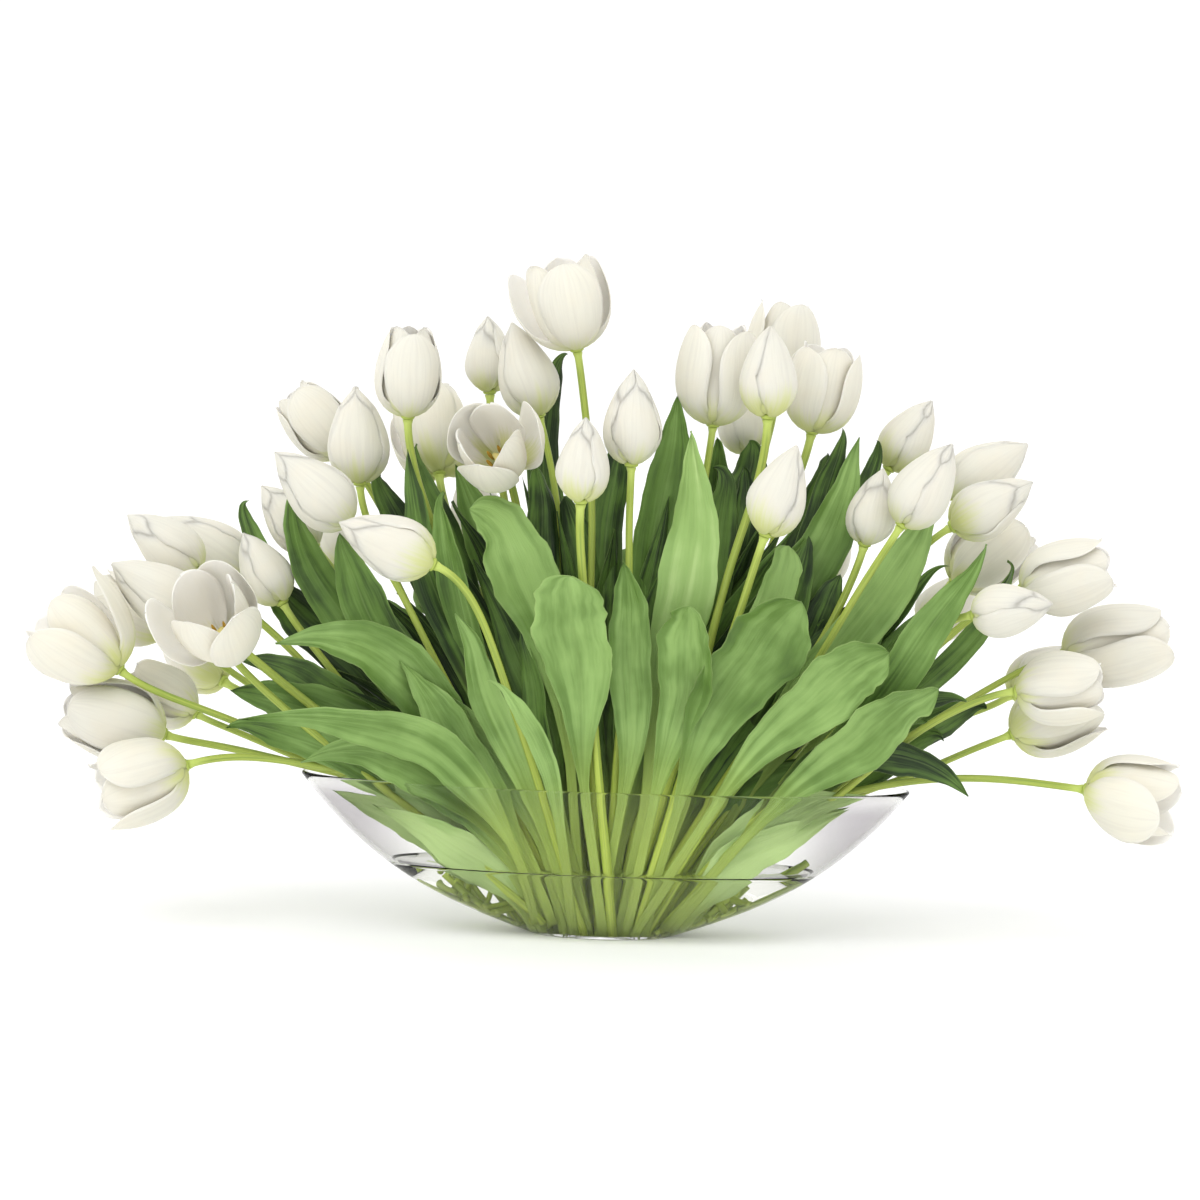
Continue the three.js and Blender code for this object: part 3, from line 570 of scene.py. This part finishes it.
def leaf_line(start, middle, tip, turn, share, chance):
    """The middle line of a leaf, with the ways across the leaf and out of its face."""
    at = LEAF["middle_at"]
    bend = (middle - (1 - at) ** 2 * start - at ** 2 * tip) / (2 * at * (1 - at))
    points = bezier([start, bend, tip], share)
    points[0, 2] -= HEEL["sunk"]
    along = tangents(points)
    across = unit(np.cross((0, math.copysign(1, start[1]), 0), along))
    twist = chance.uniform(-LEAF["twist"], LEAF["twist"]) * smoothstep(share, 0.5, 1)
    angle = np.radians(turn * share + twist)[:, None]
    across = across * np.cos(angle) + np.cross(along, across) * np.sin(angle)
    face = unit(np.cross(along, across))
    sway = LEAF["sway"] * np.linalg.norm(tip - start) * np.sin(np.pi * share) ** 2
    points = points + (sway * np.sin(7 * share + chance.uniform(0, 6)))[:, None] * across
    points = points + (0.5 * sway * np.sin(15 * share + chance.uniform(0, 6)))[:, None] * face
    droop = chance.uniform(*LEAF["droop"]) * smoothstep(share, 0.7, 1) ** 2
    return points + droop[:, None] * face, across, face


def leaf_lift(share, side, half, blade, turn, chance):
    """How far the face stands off its middle line: cupped, rippled, folded and grooved."""
    ripple = half * np.abs(side) ** 2 * blade * (
        0.12 * np.sin(9 * share + turn) * np.sign(side)
        + wave(chance, 0.05, 0.12, 19 * share)
        + wave(chance, 0.03, 0.08, 33 * share + 2 * side)
    )
    fold = 0.9 * blade * np.sin(2.6 * side + 4 * share + chance.uniform(0, 6))
    groove = -0.5 * blade * np.exp(-(side / 0.1) ** 2) * (1 - share ** 3)
    return chance.uniform(0.12, 0.28) * half * side ** 2 + ripple + fold + groove


def leaf_notches(share, side, blade, spoon, chance):
    """How much wider or narrower the leaf is in places, most of all near the end of a spoon."""
    ragged = blade * mix(1, 2, spoon * smoothstep(share, 0.5, 0.9))
    return 1 + ragged * (
        wave(chance, 0.03, 0.07, 17 * share + 2.2 * np.sign(side))
        + wave(chance, 0.02, 0.04, 41 * share + 5 * np.sign(side))
        + 0.018 * np.sin(83 * share + 3 * np.sign(side))
    )


def leaf(shell, start, middle, tip, width, spoon, turn, tone, chance, fineness=1.0):
    share = eased(round(LEAF["rows"] * fineness)) ** LEAF["crowding"]
    side = eased(round(LEAF["columns"] * fineness), -1)
    points, across, face = leaf_line(start, settled(*middle), settled(*tip), turn, share, chance)
    share = share[:, None]
    half = leaf_half_width(share, width, spoon)
    blade = smoothstep(share, 0.12, 0.45)
    lift = leaf_lift(share, side, half, blade, turn, chance)[..., None]
    reach = (side * half * leaf_notches(share, side, blade, spoon, chance))[..., None]
    place = points[:, None] + reach * across[:, None] + lift * face[:, None]

    flat = smoothstep(share, 0, 0.3)
    crown = (1 - np.abs(side) ** mix(2, 6, flat)) ** 0.5
    thickness = mix(LEAF["edge"], mix(LEAF["sheath"], LEAF["thickness"], flat), crown) / 2
    shell.add_sheet(place, thickness[..., None] * face[:, None], share, side, tone)


# Blooms

class PetalLine:
    """The middle line of a petal, out from the axis and up, as it leans outwards while it opens."""

    def __init__(self, kind, length, opened, closed):
        self.kind = kind
        self.tuck = kind["closed_tuck" if closed else "open_tuck"]
        steps = BLOOM["steps"]
        share = (np.arange(steps) + 0.5) / steps
        shut = 88 * (1 - share) ** 3.5 - 28 * smoothstep(share, 0, 0.8) - 14 * smoothstep(share, 0.75, 1)
        wide = 88 - 58 * smoothstep(share, 0, 0.5) - 34 * smoothstep(share, 0.4, 1)
        slope = np.radians(mix(shut, wide, opened))
        part = length * BLOOM["arc"] / steps
        out, up = np.cumsum(kind["girth"] * np.sin(slope) * part), np.cumsum(np.cos(slope) * part)
        self.at = np.arange(steps + 1) / steps
        self.radii = BLOOM["start"] + np.concatenate([[0], out])
        self.heights = kind["lift"] + np.concatenate([[0], up])
        self.slopes = np.concatenate([[math.radians(88)], slope])
        if closed:
            self.radii -= (self.radii[-1] - kind["tip"]) * smoothstep(self.at, 0.8, 1)

    def read(self, share):
        return [np.interp(share, self.at, held) for held in (self.radii, self.heights, self.slopes)]


def petal_half_width(share, loose):
    """Half a petal's width as a part of its most: a claw, a broad middle and a round tip."""
    claw = (share + 0.05) ** mix(0.25, 0.45, loose)
    return np.maximum(claw * (1 - share ** 4) ** 0.56 / mix(0.84, 0.77, loose), 0.02)


def petal(shell, line, azimuth, width, opened, tone, chance):
    share = eased(PETAL["rows"])[:, None]
    side = np.linspace(-1, 1, PETAL["columns"] + 1)[None, :]
    radius, height, slope = line.read(share)
    loose = min(1, opened / PETAL["loose_from"])
    radius = radius * (1 + chance.uniform(-0.06, 0.06) * loose * share ** 2)
    turn = azimuth + np.radians(chance.uniform(-5, 5)) * share
    radial = np.stack([np.cos(turn), np.sin(turn), 0 * turn], -1)
    tangent = np.stack([-np.sin(turn), np.cos(turn), 0 * turn], -1)
    up = np.array((0.0, 0.0, 1.0))
    outward = np.cos(slope)[..., None] * radial - np.sin(slope)[..., None] * up

    bend = np.maximum(radius * mix(1.0, 0.86, opened), mix(0.3, 6.5, loose))
    reach = line.kind["width"] * width * petal_half_width(share, loose) / bend
    angle = side * np.minimum(reach, line.kind["most_turn"])
    normal = np.cos(angle)[..., None] * outward + np.sin(angle)[..., None] * tangent
    place = radius[..., None] * radial + height[..., None] * up
    place = place + bend[..., None] * (normal - outward)

    crease = -0.35 * np.exp(-(side / 0.13) ** 2) * np.sin(np.pi * share)
    fold = mix(0.12, 0.5, loose) * np.sin(4 * side + chance.uniform(0, 6)) * np.sin(np.pi * share)
    curl = 1.6 * opened * np.abs(side) ** 4 * smoothstep(share, 0.3, 0.9)
    ripple = np.sin(8 * share + 3 * side + chance.uniform(0, 6))
    ripple = mix(0.1, 0.9, loose) * np.abs(side) ** 3 * ripple * share
    offset = crease + fold + curl + ripple - line.tuck * side * np.minimum(radius, 20)
    place = place + offset[..., None] * normal

    thickness = mix(PETAL["edge"], PETAL["thickness"], (1 - np.abs(side) ** 6) * (1 - share ** 8)) / 2
    shell.add_sheet(place, thickness[..., None] * normal, share, side, tone)


def petals(shell, length, opened, tone, chance):
    """Three outer petals, and between them three inner ones that open less."""
    closed = opened <= BLOOM["closed"]
    width = PETAL["half_width"] * (length / BLOOM["usual_length"])
    for i in range(3):
        azimuth = math.radians(120 * i + (60 if closed else 0))
        wider = 0.0 if closed else chance.uniform(-0.06, 0.1)
        if i == 0 and opened > BLOOM["wide"]:
            wider = BLOOM["fallen"]
        outer = PetalLine(OUTER, length * chance.uniform(0.95, 1.01), opened + wider, closed)
        inner = PetalLine(INNER, length * 0.97, 0.85 * (opened + 0.5 * wider), closed)
        petal(shell, outer, azimuth, width, opened, tone, chance)
        petal(shell, inner, azimuth + math.pi / 3, width, opened, tone, chance)


def bloom_base(shell):
    """The knob of the stem that carries the petals."""
    profile = [(2.6, -0.2), (3.9, 0.3), (4.6, 1.2), (4.3, 2.6), (3, 3.6), (0.2, 4)]
    rings = [round_ring(radius, height, circle(16)) for radius, height in profile]
    shell.add(np.array(rings), 1, along=0.95, tone=0.5)


def bloom_heart(shell, chance):
    """A three-sided seed head with its crown, and six stamens round it."""
    profile = [
        (2.6, 3, 0.1), (3.2, 8, 0.12), (2.9, 15, 0.12), (2.4, 18, 0.1), (3.6, 19.4, 0.3),
        (3.3, 20.4, 0.35), (0.3, 20.2, 0),
    ]
    turns = circle(18)
    lobes = np.cos(3 * turns)
    rings = [round_ring(radius * (1 + lobe * lobes), height, turns) for radius, height, lobe in profile]
    shell.add(np.array(rings), 2, along=np.linspace(0, 1, len(profile))[:, None])
    share = np.linspace(0, 1, 7)
    swell = 1.25 * np.sqrt(np.clip(np.sin(np.pi * np.linspace(0.02, 0.98, 9)), 0, 1))
    for i in range(6):
        turn = math.pi * i / 3 + chance.uniform(-0.15, 0.15)
        out = np.array((math.cos(turn), math.sin(turn), 0))
        foot, knee = out * 4.2 + (0, 0, 3.5), out * 6.2 + (0, 0, 11)
        top = out * chance.uniform(7, 8.4) + (0, 0, 21)
        shell.add(tube_rings(bezier([foot, knee], share), mix(1, 0.5, share), 8), 2, along=0.2)
        shell.add(tube_rings(bezier([knee - (0, 0, 1), top], np.linspace(0, 1, 9)), swell, 8), 3)


def bloom(number, spec, materials):
    _, x, y, z, lean, forward, length, opened = spec
    chance = chance_of("bloom", number)
    tone = chance.random()
    shell = Shell()
    petals(shell, length, opened, tone, chance)
    bloom_base(shell)
    if opened > BLOOM["closed"]:
        bloom_heart(shell, chance)
    facing = Vector(head_direction(lean, forward))
    spin = Quaternion((0, 0, 1), math.radians(BLOOM["spin"] * number))
    turned = Vector((0, 0, 1)).rotation_difference(facing) @ spin
    place = Vector(settled(x, y, z)) + BLOOM["gap"] * facing
    matrix = np.array(Matrix.Translation(place) @ turned.to_matrix().to_4x4())
    shell.points = [points @ matrix[:3, :3].T + matrix[:3, 3] for points in shell.points]
    node = f"tulip_{number + 1:02d}"
    shell.piece(f"{node}_bloom", materials, "petal_white", [node])


# Materials

def link(value, socket):
    """A number for a socket, or a link to it."""
    if isinstance(value, bpy.types.NodeSocket):
        socket.id_data.links.new(value, socket)
    else:
        socket.default_value = value


def fill(node, **values):
    """Values for the sockets of a node, by their names with _ for a space."""
    for name, value in values.items():
        link(value, node.inputs[name.replace("_", " ")])


def new_node(tree, kind, *values, **named):
    """A new node, with values for its first sockets or for sockets by name."""
    node = tree.nodes.new(f"ShaderNode{kind}")
    for socket, value in zip(node.inputs, values):
        link(value, socket)
    fill(node, **named)
    return node


def stretched(tree, value, low, high, to_low, to_high):
    """The value stretched from one range to another, smooth at both ends."""
    node = new_node(tree, "MapRange", value, low, high, to_low, to_high)
    node.interpolation_type = "SMOOTHSTEP"
    return node.outputs["Result"]


class Looks:
    """One material and the shader nodes that are added to it."""

    def __init__(self, name):
        self.material = bpy.data.materials.new(name)
        self.material.use_nodes = True
        self.tree = self.material.node_tree

    def set(self, **values):
        fill(self.tree.nodes["Principled BSDF"], **values)

    def value(self, name):
        node = new_node(self.tree, "Attribute")
        node.attribute_name = name
        return node.outputs["Fac"]

    def sum(self, operation, *values):
        node = new_node(self.tree, "Math", *values)
        node.operation = operation
        return node.outputs[0]

    def times(self, value, factor):
        return self.sum("MULTIPLY", value, factor)

    def plus(self, value, more):
        return self.sum("ADD", value, more)

    def size(self, value):
        return self.sum("ABSOLUTE", value)

    def span(self, value, low, high, to_low=0.0, to_high=1.0):
        return stretched(self.tree, value, low, high, to_low, to_high)

    def place(self, x, y, z):
        return new_node(self.tree, "CombineXYZ", x, y, z).outputs[0]

    def object_place(self):
        return new_node(self.tree, "TexCoord").outputs["Object"]

    def object_part(self, axis):
        return new_node(self.tree, "SeparateXYZ", self.object_place()).outputs[axis]

    def noise(self, where, scale, detail=2.0, rough=0.5):
        node = new_node(self.tree, "TexNoise", Vector=where, Scale=scale, Detail=detail, Roughness=rough)
        return node.outputs["Fac"]

    def blend(self, share, first, second):
        node = new_node(self.tree, "Mix", Factor=share)
        node.data_type = "RGBA"
        for name, colour in (("A", first), ("B", second)):
            socket = next(s for s in node.inputs if s.name == name and s.type == "RGBA")
            link(colour if isinstance(colour, bpy.types.NodeSocket) else (*colour, 1), socket)
        return next(s for s in node.outputs if s.type == "RGBA")

    def bump(self, height, strength, distance):
        node = new_node(self.tree, "Bump", Strength=strength, Distance=distance, Height=height)
        self.set(Normal=node.outputs[0])


def petal_white():
    """Ivory with faint grey veins and green-yellow where it starts; paler inside and cream at the edges,
    partly their own colour and partly painted light that lifts the shade in the cup and in the seams
    between petals.
    """
    looks = Looks("petal_white")
    along, across, tone = looks.value("along"), looks.value("across"), looks.value("tone")
    seed = looks.times(tone, 17.0)
    fan = looks.place(looks.times(across, 9.0), looks.times(along, 1.3), seed)
    veins = looks.noise(fan, 1.0, 4.0, 0.6)
    cloud = looks.noise(looks.object_place(), 45.0, 2.0)
    colour = looks.blend(looks.span(veins, 0.42, 0.68, 0, 0.6), (0.77, 0.745, 0.64), (0.70, 0.672, 0.585))
    colour = looks.blend(looks.span(cloud, 0.4, 0.7, 0, 0.35), colour, (0.80, 0.735, 0.60))
    # Paler inside: partly the creamier inner face, partly painted light that lifts the shade inside the
    # cup.
    colour = looks.blend(looks.times(looks.value("inside"), 0.9), colour, (0.985, 0.95, 0.87))
    # Cream at the edges: partly the petal's own colour, partly painted light that lifts the shade in the
    # seams between petals.
    edge = looks.span(looks.size(across), 0.86, 1.0, 0, 0.35)
    colour = looks.blend(edge, colour, (0.86, 0.83, 0.73))
    reach = looks.plus(along, looks.span(veins, 0.3, 0.7, -0.06, 0.06))
    reach = looks.plus(reach, looks.span(looks.size(across), 0, 0.8, -0.06, 0.06))
    reach = looks.plus(reach, looks.span(tone, 0, 1, -0.06, 0.12))
    colour = looks.blend(looks.span(reach, 0.05, 0.4, 0.85, 0), colour, (0.64, 0.68, 0.24))
    fine = looks.noise(looks.place(looks.times(across, 30.0), along, seed), 1.0, 2.0)
    looks.set(Base_Color=colour, Roughness=0.6, Specular_IOR_Level=0.25)
    looks.set(Subsurface_Weight=0.5, Subsurface_Radius=(1.0, 0.95, 0.85), Subsurface_Scale=0.0025)
    looks.bump(looks.plus(veins, looks.times(fine, 0.5)), 0.35, 0.0006)
    return looks.material


def leaf_green():
    """Satin green with veins that run from stalk to tip, paler edges and a yellow-green stalk, with
    painted light and shade: broad lengthwise streaks of painted sheen and shade, near-black painted shade
    for the darkest tones, painted light above tone 1 and a stalk made paler partly as painted light.
    """
    looks = Looks("leaf_green")
    along, across, tone = looks.value("along"), looks.value("across"), looks.value("tone")
    seed = looks.times(tone, 23.0)
    slow = looks.place(looks.times(across, 2.2), looks.times(along, 2.4), seed)
    streaks = looks.noise(slow, 1.0, 3.0, 0.55)
    veins = looks.noise(looks.place(looks.times(across, 13.0), along, seed), 1.0, 4.0, 0.62)
    cloud = looks.noise(looks.object_place(), 24.0, 3.0)
    # The broad streaks lighten and darken the green as painted sheen and shade of the leaf's soft folds;
    # the cloud is the leaf's own mottling.
    light = looks.plus(tone, looks.span(streaks, 0.3, 0.7, -0.2, 0.2))
    light = looks.plus(light, looks.span(cloud, 0.3, 0.7, -0.15, 0.15))
    # Painted shade and light: the lowest tones turn near-black, standing in for the shade deep in the
    # fan, and tones above 1 turn a paler green as painted light for leaves in the water.
    colour = looks.blend(looks.span(light, -0.1, 0.4), (0.012, 0.03, 0.007), (0.115, 0.215, 0.04))
    colour = looks.blend(looks.span(light, 0.3, 1.05), colour, (0.315, 0.49, 0.15))
    colour = looks.blend(looks.span(light, 1.0, 1.5), colour, (0.50, 0.68, 0.27))
    colour = looks.blend(looks.span(veins, 0.45, 0.72, 0, 0.14), colour, (0.25, 0.42, 0.11))
    rib = looks.span(looks.size(across), 0.0, 0.07, 0.16, 0.0)
    colour = looks.blend(rib, colour, (0.30, 0.44, 0.14))
    edge = looks.span(looks.size(across), 0.95, 1.0, 0, 0.35)
    colour = looks.blend(edge, colour, (0.30, 0.40, 0.14))
    # A paler yellow-green stalk: partly its own colour, partly painted light that makes up for light lost
    # in the glass and water; dark leaves keep dark stalks.
    stalk = looks.times(looks.span(along, 0.1, 0.45, 0.9, 0), looks.span(tone, -0.3, 0.3))
    colour = looks.blend(stalk, colour, (0.44, 0.58, 0.12))
    looks.set(Base_Color=colour, Specular_IOR_Level=0.3)
    looks.set(Roughness=looks.span(streaks, 0.3, 0.7, 0.38, 0.5))
    looks.bump(looks.plus(streaks, looks.times(veins, 0.25)), 0.6, 0.0025)
    return looks.material


def stem_green():
    """Yellow-green with fine lengthwise streaks, paler under the bloom and brighter towards the foot,
    partly as painted light.
    """
    looks = Looks("stem_green")
    along, across = looks.value("along"), looks.value("across")
    seed = looks.times(looks.value("tone"), 31.0)
    where = looks.place(looks.times(across, 3.0), looks.times(along, 4.0), seed)
    streaks = looks.noise(where, 1.0, 3.0)
    # Brighter yellow-green towards the foot: partly the paler base of a real stalk, partly painted light
    # that makes up for light lost in the glass and water.
    colour = looks.blend(looks.span(along, 0.1, 0.5), (0.52, 0.66, 0.10), (0.40, 0.49, 0.085))
    colour = looks.blend(looks.span(streaks, 0.4, 0.7, 0, 0.7), colour, (0.20, 0.30, 0.05))
    colour = looks.blend(looks.span(along, 0.9, 1.0), colour, (0.56, 0.68, 0.16))
    looks.set(Base_Color=colour, Roughness=0.45, Specular_IOR_Level=0.4)
    looks.bump(streaks, 0.3, 0.0005)
    return looks.material


def seed_head_green():
    looks = Looks("seed_head_green")
    crown = looks.span(looks.value("along"), 0.55, 0.85)
    colour = looks.blend(crown, (0.42, 0.50, 0.16), (0.78, 0.68, 0.24))
    looks.set(Base_Color=colour, Roughness=0.6)
    looks.bump(looks.noise(looks.object_place(), 900.0), 0.2, 0.0003)
    return looks.material


def pollen_yellow():
    looks = Looks("pollen_yellow")
    grain = looks.noise(looks.object_place(), 1400.0, 3.0)
    colour = looks.blend(grain, (0.80, 0.50, 0.06), (0.45, 0.25, 0.04))
    looks.set(Base_Color=colour, Roughness=0.85)
    looks.bump(grain, 0.6, 0.0004)
    return looks.material


def clear_glass():
    """Clear in the middle, with grey painted shade towards its two ends below the rim, standing in for
    the darker look of the glass there.
    """
    looks = Looks("clear_glass")
    out = looks.size(looks.object_part("X"))
    below_rim = looks.span(looks.object_part("Z"), 0.086, 0.098, 1, 0)
    # Painted shade: the glass is tinted grey towards both ends, below the rim.
    grey = looks.times(looks.span(out, 0.11, 0.17), below_rim)
    tint_with_painted_shade = looks.blend(grey, (0.95, 0.95, 0.94), (0.71, 0.695, 0.705))
    looks.set(Base_Color=tint_with_painted_shade, Roughness=0.0, IOR=1.2, Transmission_Weight=1.0)
    looks.bump(looks.noise(looks.object_place(), 9.0, 1.0), 0.06, 0.002)
    return looks.material


def clear_water():
    looks = Looks("clear_water")
    looks.set(Base_Color=(0.98, 0.985, 0.94, 1), Roughness=0.0, IOR=1.33, Transmission_Weight=1.0)
    looks.bump(looks.noise(looks.object_place(), 14.0, 1.0), 0.08, 0.002)
    return looks.material


def table_white():
    looks = Looks("table_white")
    grain = looks.noise(looks.object_place(), 3.0, 2.0)
    looks.set(Base_Color=looks.blend(grain, (0.96, 0.96, 0.96), (0.95, 0.95, 0.95)), Roughness=0.8)
    looks.set(Emission_Color=(1, 1, 1, 1), Emission_Strength=0.08)
    return looks.material


# The whole arrangement

def rows_of(table, bunch):
    """The rows of a table that belong to a bunch, with their numbers."""
    return [(number, row) for number, row in enumerate(table) if row[0] == bunch]


def green_piece(shell, name, material, bunch=None):
    nodes = [f"stems_and_leaves_{bunch}"] if bunch else []
    shell.piece(name, [material], "stem_and_leaf_green", nodes)


def bunch_of_stalks(bunch, green_stem, green_leaf):
    """The stems of a bunch as one piece, and each of its leaves as a piece of its own."""
    stems, leaves = rows_of(TULIPS, bunch), rows_of(LEAVES, bunch)
    ends = [settled(*row[1:4]) for _, row in stems]
    ends += [settled(*row[2]) for _, row in leaves]
    places = standing_places(bunch, ends)
    shell = Shell()
    for (number, row), start, end in zip(stems, places, ends):
        stem(shell, start, end, head_direction(*row[4:6]), chance_of("stem", number))
    green_piece(shell, f"stems_{bunch}", green_stem, bunch)
    for (number, row), start in zip(leaves, places[len(stems):]):
        shell = Shell()
        leaf(shell, start, *row[1:], chance_of("leaf", number))
        green_piece(shell, f"leaf_{number + 1:02d}_{bunch}", green_leaf, bunch)


def tucked_leaves(bunch, material):
    """The smaller leaves of a bunch, as one piece."""
    shell = Shell()
    for number, (_, foot, *rest) in rows_of(MORE_LEAVES, bunch):
        leaf(shell, on_floor(foot), *rest, chance_of("small_leaf", number))
    if shell.count:
        green_piece(shell, f"more_leaves_{bunch}", material, bunch)


def painted_shade_leaves(material):
    """Leaves that fill the middle of the fan, in a few pieces, coloured near-black as painted shade."""
    chance = chance_of("filling")
    shells = [Shell() for _ in range(FILLING["pieces"])]
    at = LEAF["middle_at"]
    for number in range(FILLING["count"]):
        part = (number + 0.5) / FILLING["count"]
        lean = mix(FILLING["leans"][0], FILLING["leans"][-1], part) + chance.uniform(-2, 2)
        reach = np.interp(lean, FILLING["leans"], FILLING["reaches"]) * chance.uniform(0.8, 1)
        foot = (FILLING["spread"] * math.sin(math.radians(lean)), chance.uniform(*FILLING["depth"]))
        tip, middle = (
            (out * math.sin(bent), foot[1] * FILLING["deeper"], FILLING["height"] + out * math.cos(bent))
            for out, bent in ((reach, math.radians(lean)), (at * reach, math.radians(0.9 * lean)))
        )
        # Their light values are low, which gives them the near-black painted shade of the leaf green.
        values = [chance.uniform(*FILLING[name]) for name in ("width", "spoon", "turn", "light")]
        shell = shells[int(part * len(shells))]
        leaf(shell, on_floor(foot), middle, tip, *values, chance, FILLING["fineness"])
    for number, shell in enumerate(shells):
        green_piece(shell, f"painted_shade_leaves_{number + 1}", material)


def lying_height(x, y):
    """How high a loose stalk lies over a place in the bowl, clear of the wall."""
    return floor_height(x + LOOSE["room"], abs(y) + LOOSE["room"]) + LOOSE["clear"]


def loose_stalks(material):
    """Short cut stalks that lie along the floor of the bowl at both ends and across each other."""
    chance = chance_of("loose")
    shell = Shell()
    share = np.linspace(0, 1, LOOSE["steps"] + 1)
    for number in range(LOOSE["count"]):
        way = 1 if number % 2 else -1
        x, y = chance.uniform(LOOSE["near"], LOOSE["far"]), chance.uniform(*LOOSE["aside"])
        start = np.array((x, y, lying_height(x, y)))
        end = np.array((x + chance.uniform(-LOOSE["back"], LOOSE["out"]), y * chance.uniform(-1, 0.6), 0))
        end[2] = max(chance.uniform(*LOOSE["top"]), lying_height(*end[:2]))
        bend = (chance.uniform(-LOOSE["bend"], LOOSE["bend"]), 0, chance.uniform(-LOOSE["sag"], 0))
        points = bezier([start, (start + end) / 2 + bend, end], share) * (way, -1, 1)
        radius = chance.uniform(*LOOSE["radius"]) + 0 * share
        # along 0.1 gives these stalks the bright foot colour of the stem green, partly painted light for
        # stalks seen through the glass and water.
        shell.add(tube_rings(points, radius, STEM["sides"]), along=0.1, tone=chance.random())
    green_piece(shell, "loose_stalks", material)


def arrangement():
    green_stem, green_leaf = stem_green(), leaf_green()
    bloom_materials = [petal_white(), green_stem, seed_head_green(), pollen_yellow()]
    for number, spec in enumerate(TULIPS):
        bloom(number, spec, bloom_materials)
    for bunch in BUNCHES:
        bunch_of_stalks(bunch, green_stem, green_leaf)
    for bunch in BUNCHES:
        tucked_leaves(bunch, green_leaf)
    painted_shade_leaves(green_leaf)
    loose_stalks(green_stem)
    glass_bowl(clear_glass())
    still_water(clear_water())


# Stage

def table_top():
    half, height = LIGHT["table_size"] / 2, -LIGHT["table_drop"]
    corners = [(-half, -half, height), (half, -half, height), (half, half, height), (-half, half, height)]
    mesh = bpy.data.meshes.new("table_top")
    mesh.from_pydata(corners, [], [(0, 1, 2, 3)])
    mesh.materials.append(table_white())
    new_object("table_top", mesh)


def pale_sky():
    """An even white sky that is a little darker overhead."""
    world = bpy.data.worlds.new("studio")
    world.use_nodes = True
    tree = world.node_tree
    way = new_node(tree, "TexCoord").outputs["Generated"]
    height = new_node(tree, "SeparateXYZ", way).outputs["Z"]
    strength = stretched(tree, height, 0.3, 0.9, LIGHT["horizon"], LIGHT["zenith"])
    fill(tree.nodes["Background"], Color=(1, 1, 1, 1), Strength=strength)
    bpy.context.scene.world = world


def key_light():
    sun = bpy.data.lights.new("key", "SUN")
    sun.energy = LIGHT["sun"]
    sun.angle = math.radians(LIGHT["sun_angle"])
    turn = Vector(LIGHT["sun_from"]).to_track_quat("Z", "Y").to_euler()
    new_object("key", sun).rotation_euler = turn


def render_settings():
    scene = bpy.context.scene
    scene.view_settings.view_transform = "Standard"
    scene.cycles.max_bounces = LIGHT["bounces"]
    scene.cycles.transmission_bounces = LIGHT["bounces"]
    scene.cycles.diffuse_bounces = LIGHT["diffuse_bounces"]
    scene.cycles.blur_glossy = 0


def photo_camera():
    above, roll = math.radians(PHOTO["above"]), math.radians(PHOTO["roll"])
    middle = PHOTO["pixels"] / 2
    target = Vector((
        (middle - PHOTO["foot_column"]) * PHOTO["pixel_size"], 0,
        (PHOTO["foot_row"] - middle) * PHOTO["pixel_size"],
    ))
    ahead = Vector((0, math.cos(above), -math.sin(above)))
    level = Vector((1, 0, 0))
    upright = Vector((0, math.sin(above), math.cos(above)))
    right = level * math.cos(roll) + upright * math.sin(roll)
    up = upright * math.cos(roll) - level * math.sin(roll)
    place = (target - ahead * PHOTO["distance"]) * METRE
    data = bpy.data.cameras.new("photo_camera")
    data.sensor_width = 36
    data.lens = data.sensor_width * PHOTO["distance"] / (PHOTO["pixels"] * PHOTO["pixel_size"])
    camera = new_object("photo_camera", data)
    camera.matrix_world = Matrix((
        (right.x, up.x, -ahead.x, place.x),
        (right.y, up.y, -ahead.y, place.y),
        (right.z, up.z, -ahead.z, place.z),
        (0, 0, 0, 1),
    ))
    bpy.context.scene.camera = camera


photo_camera()
pale_sky()
key_light()
render_settings()
table_top()
arrangement()
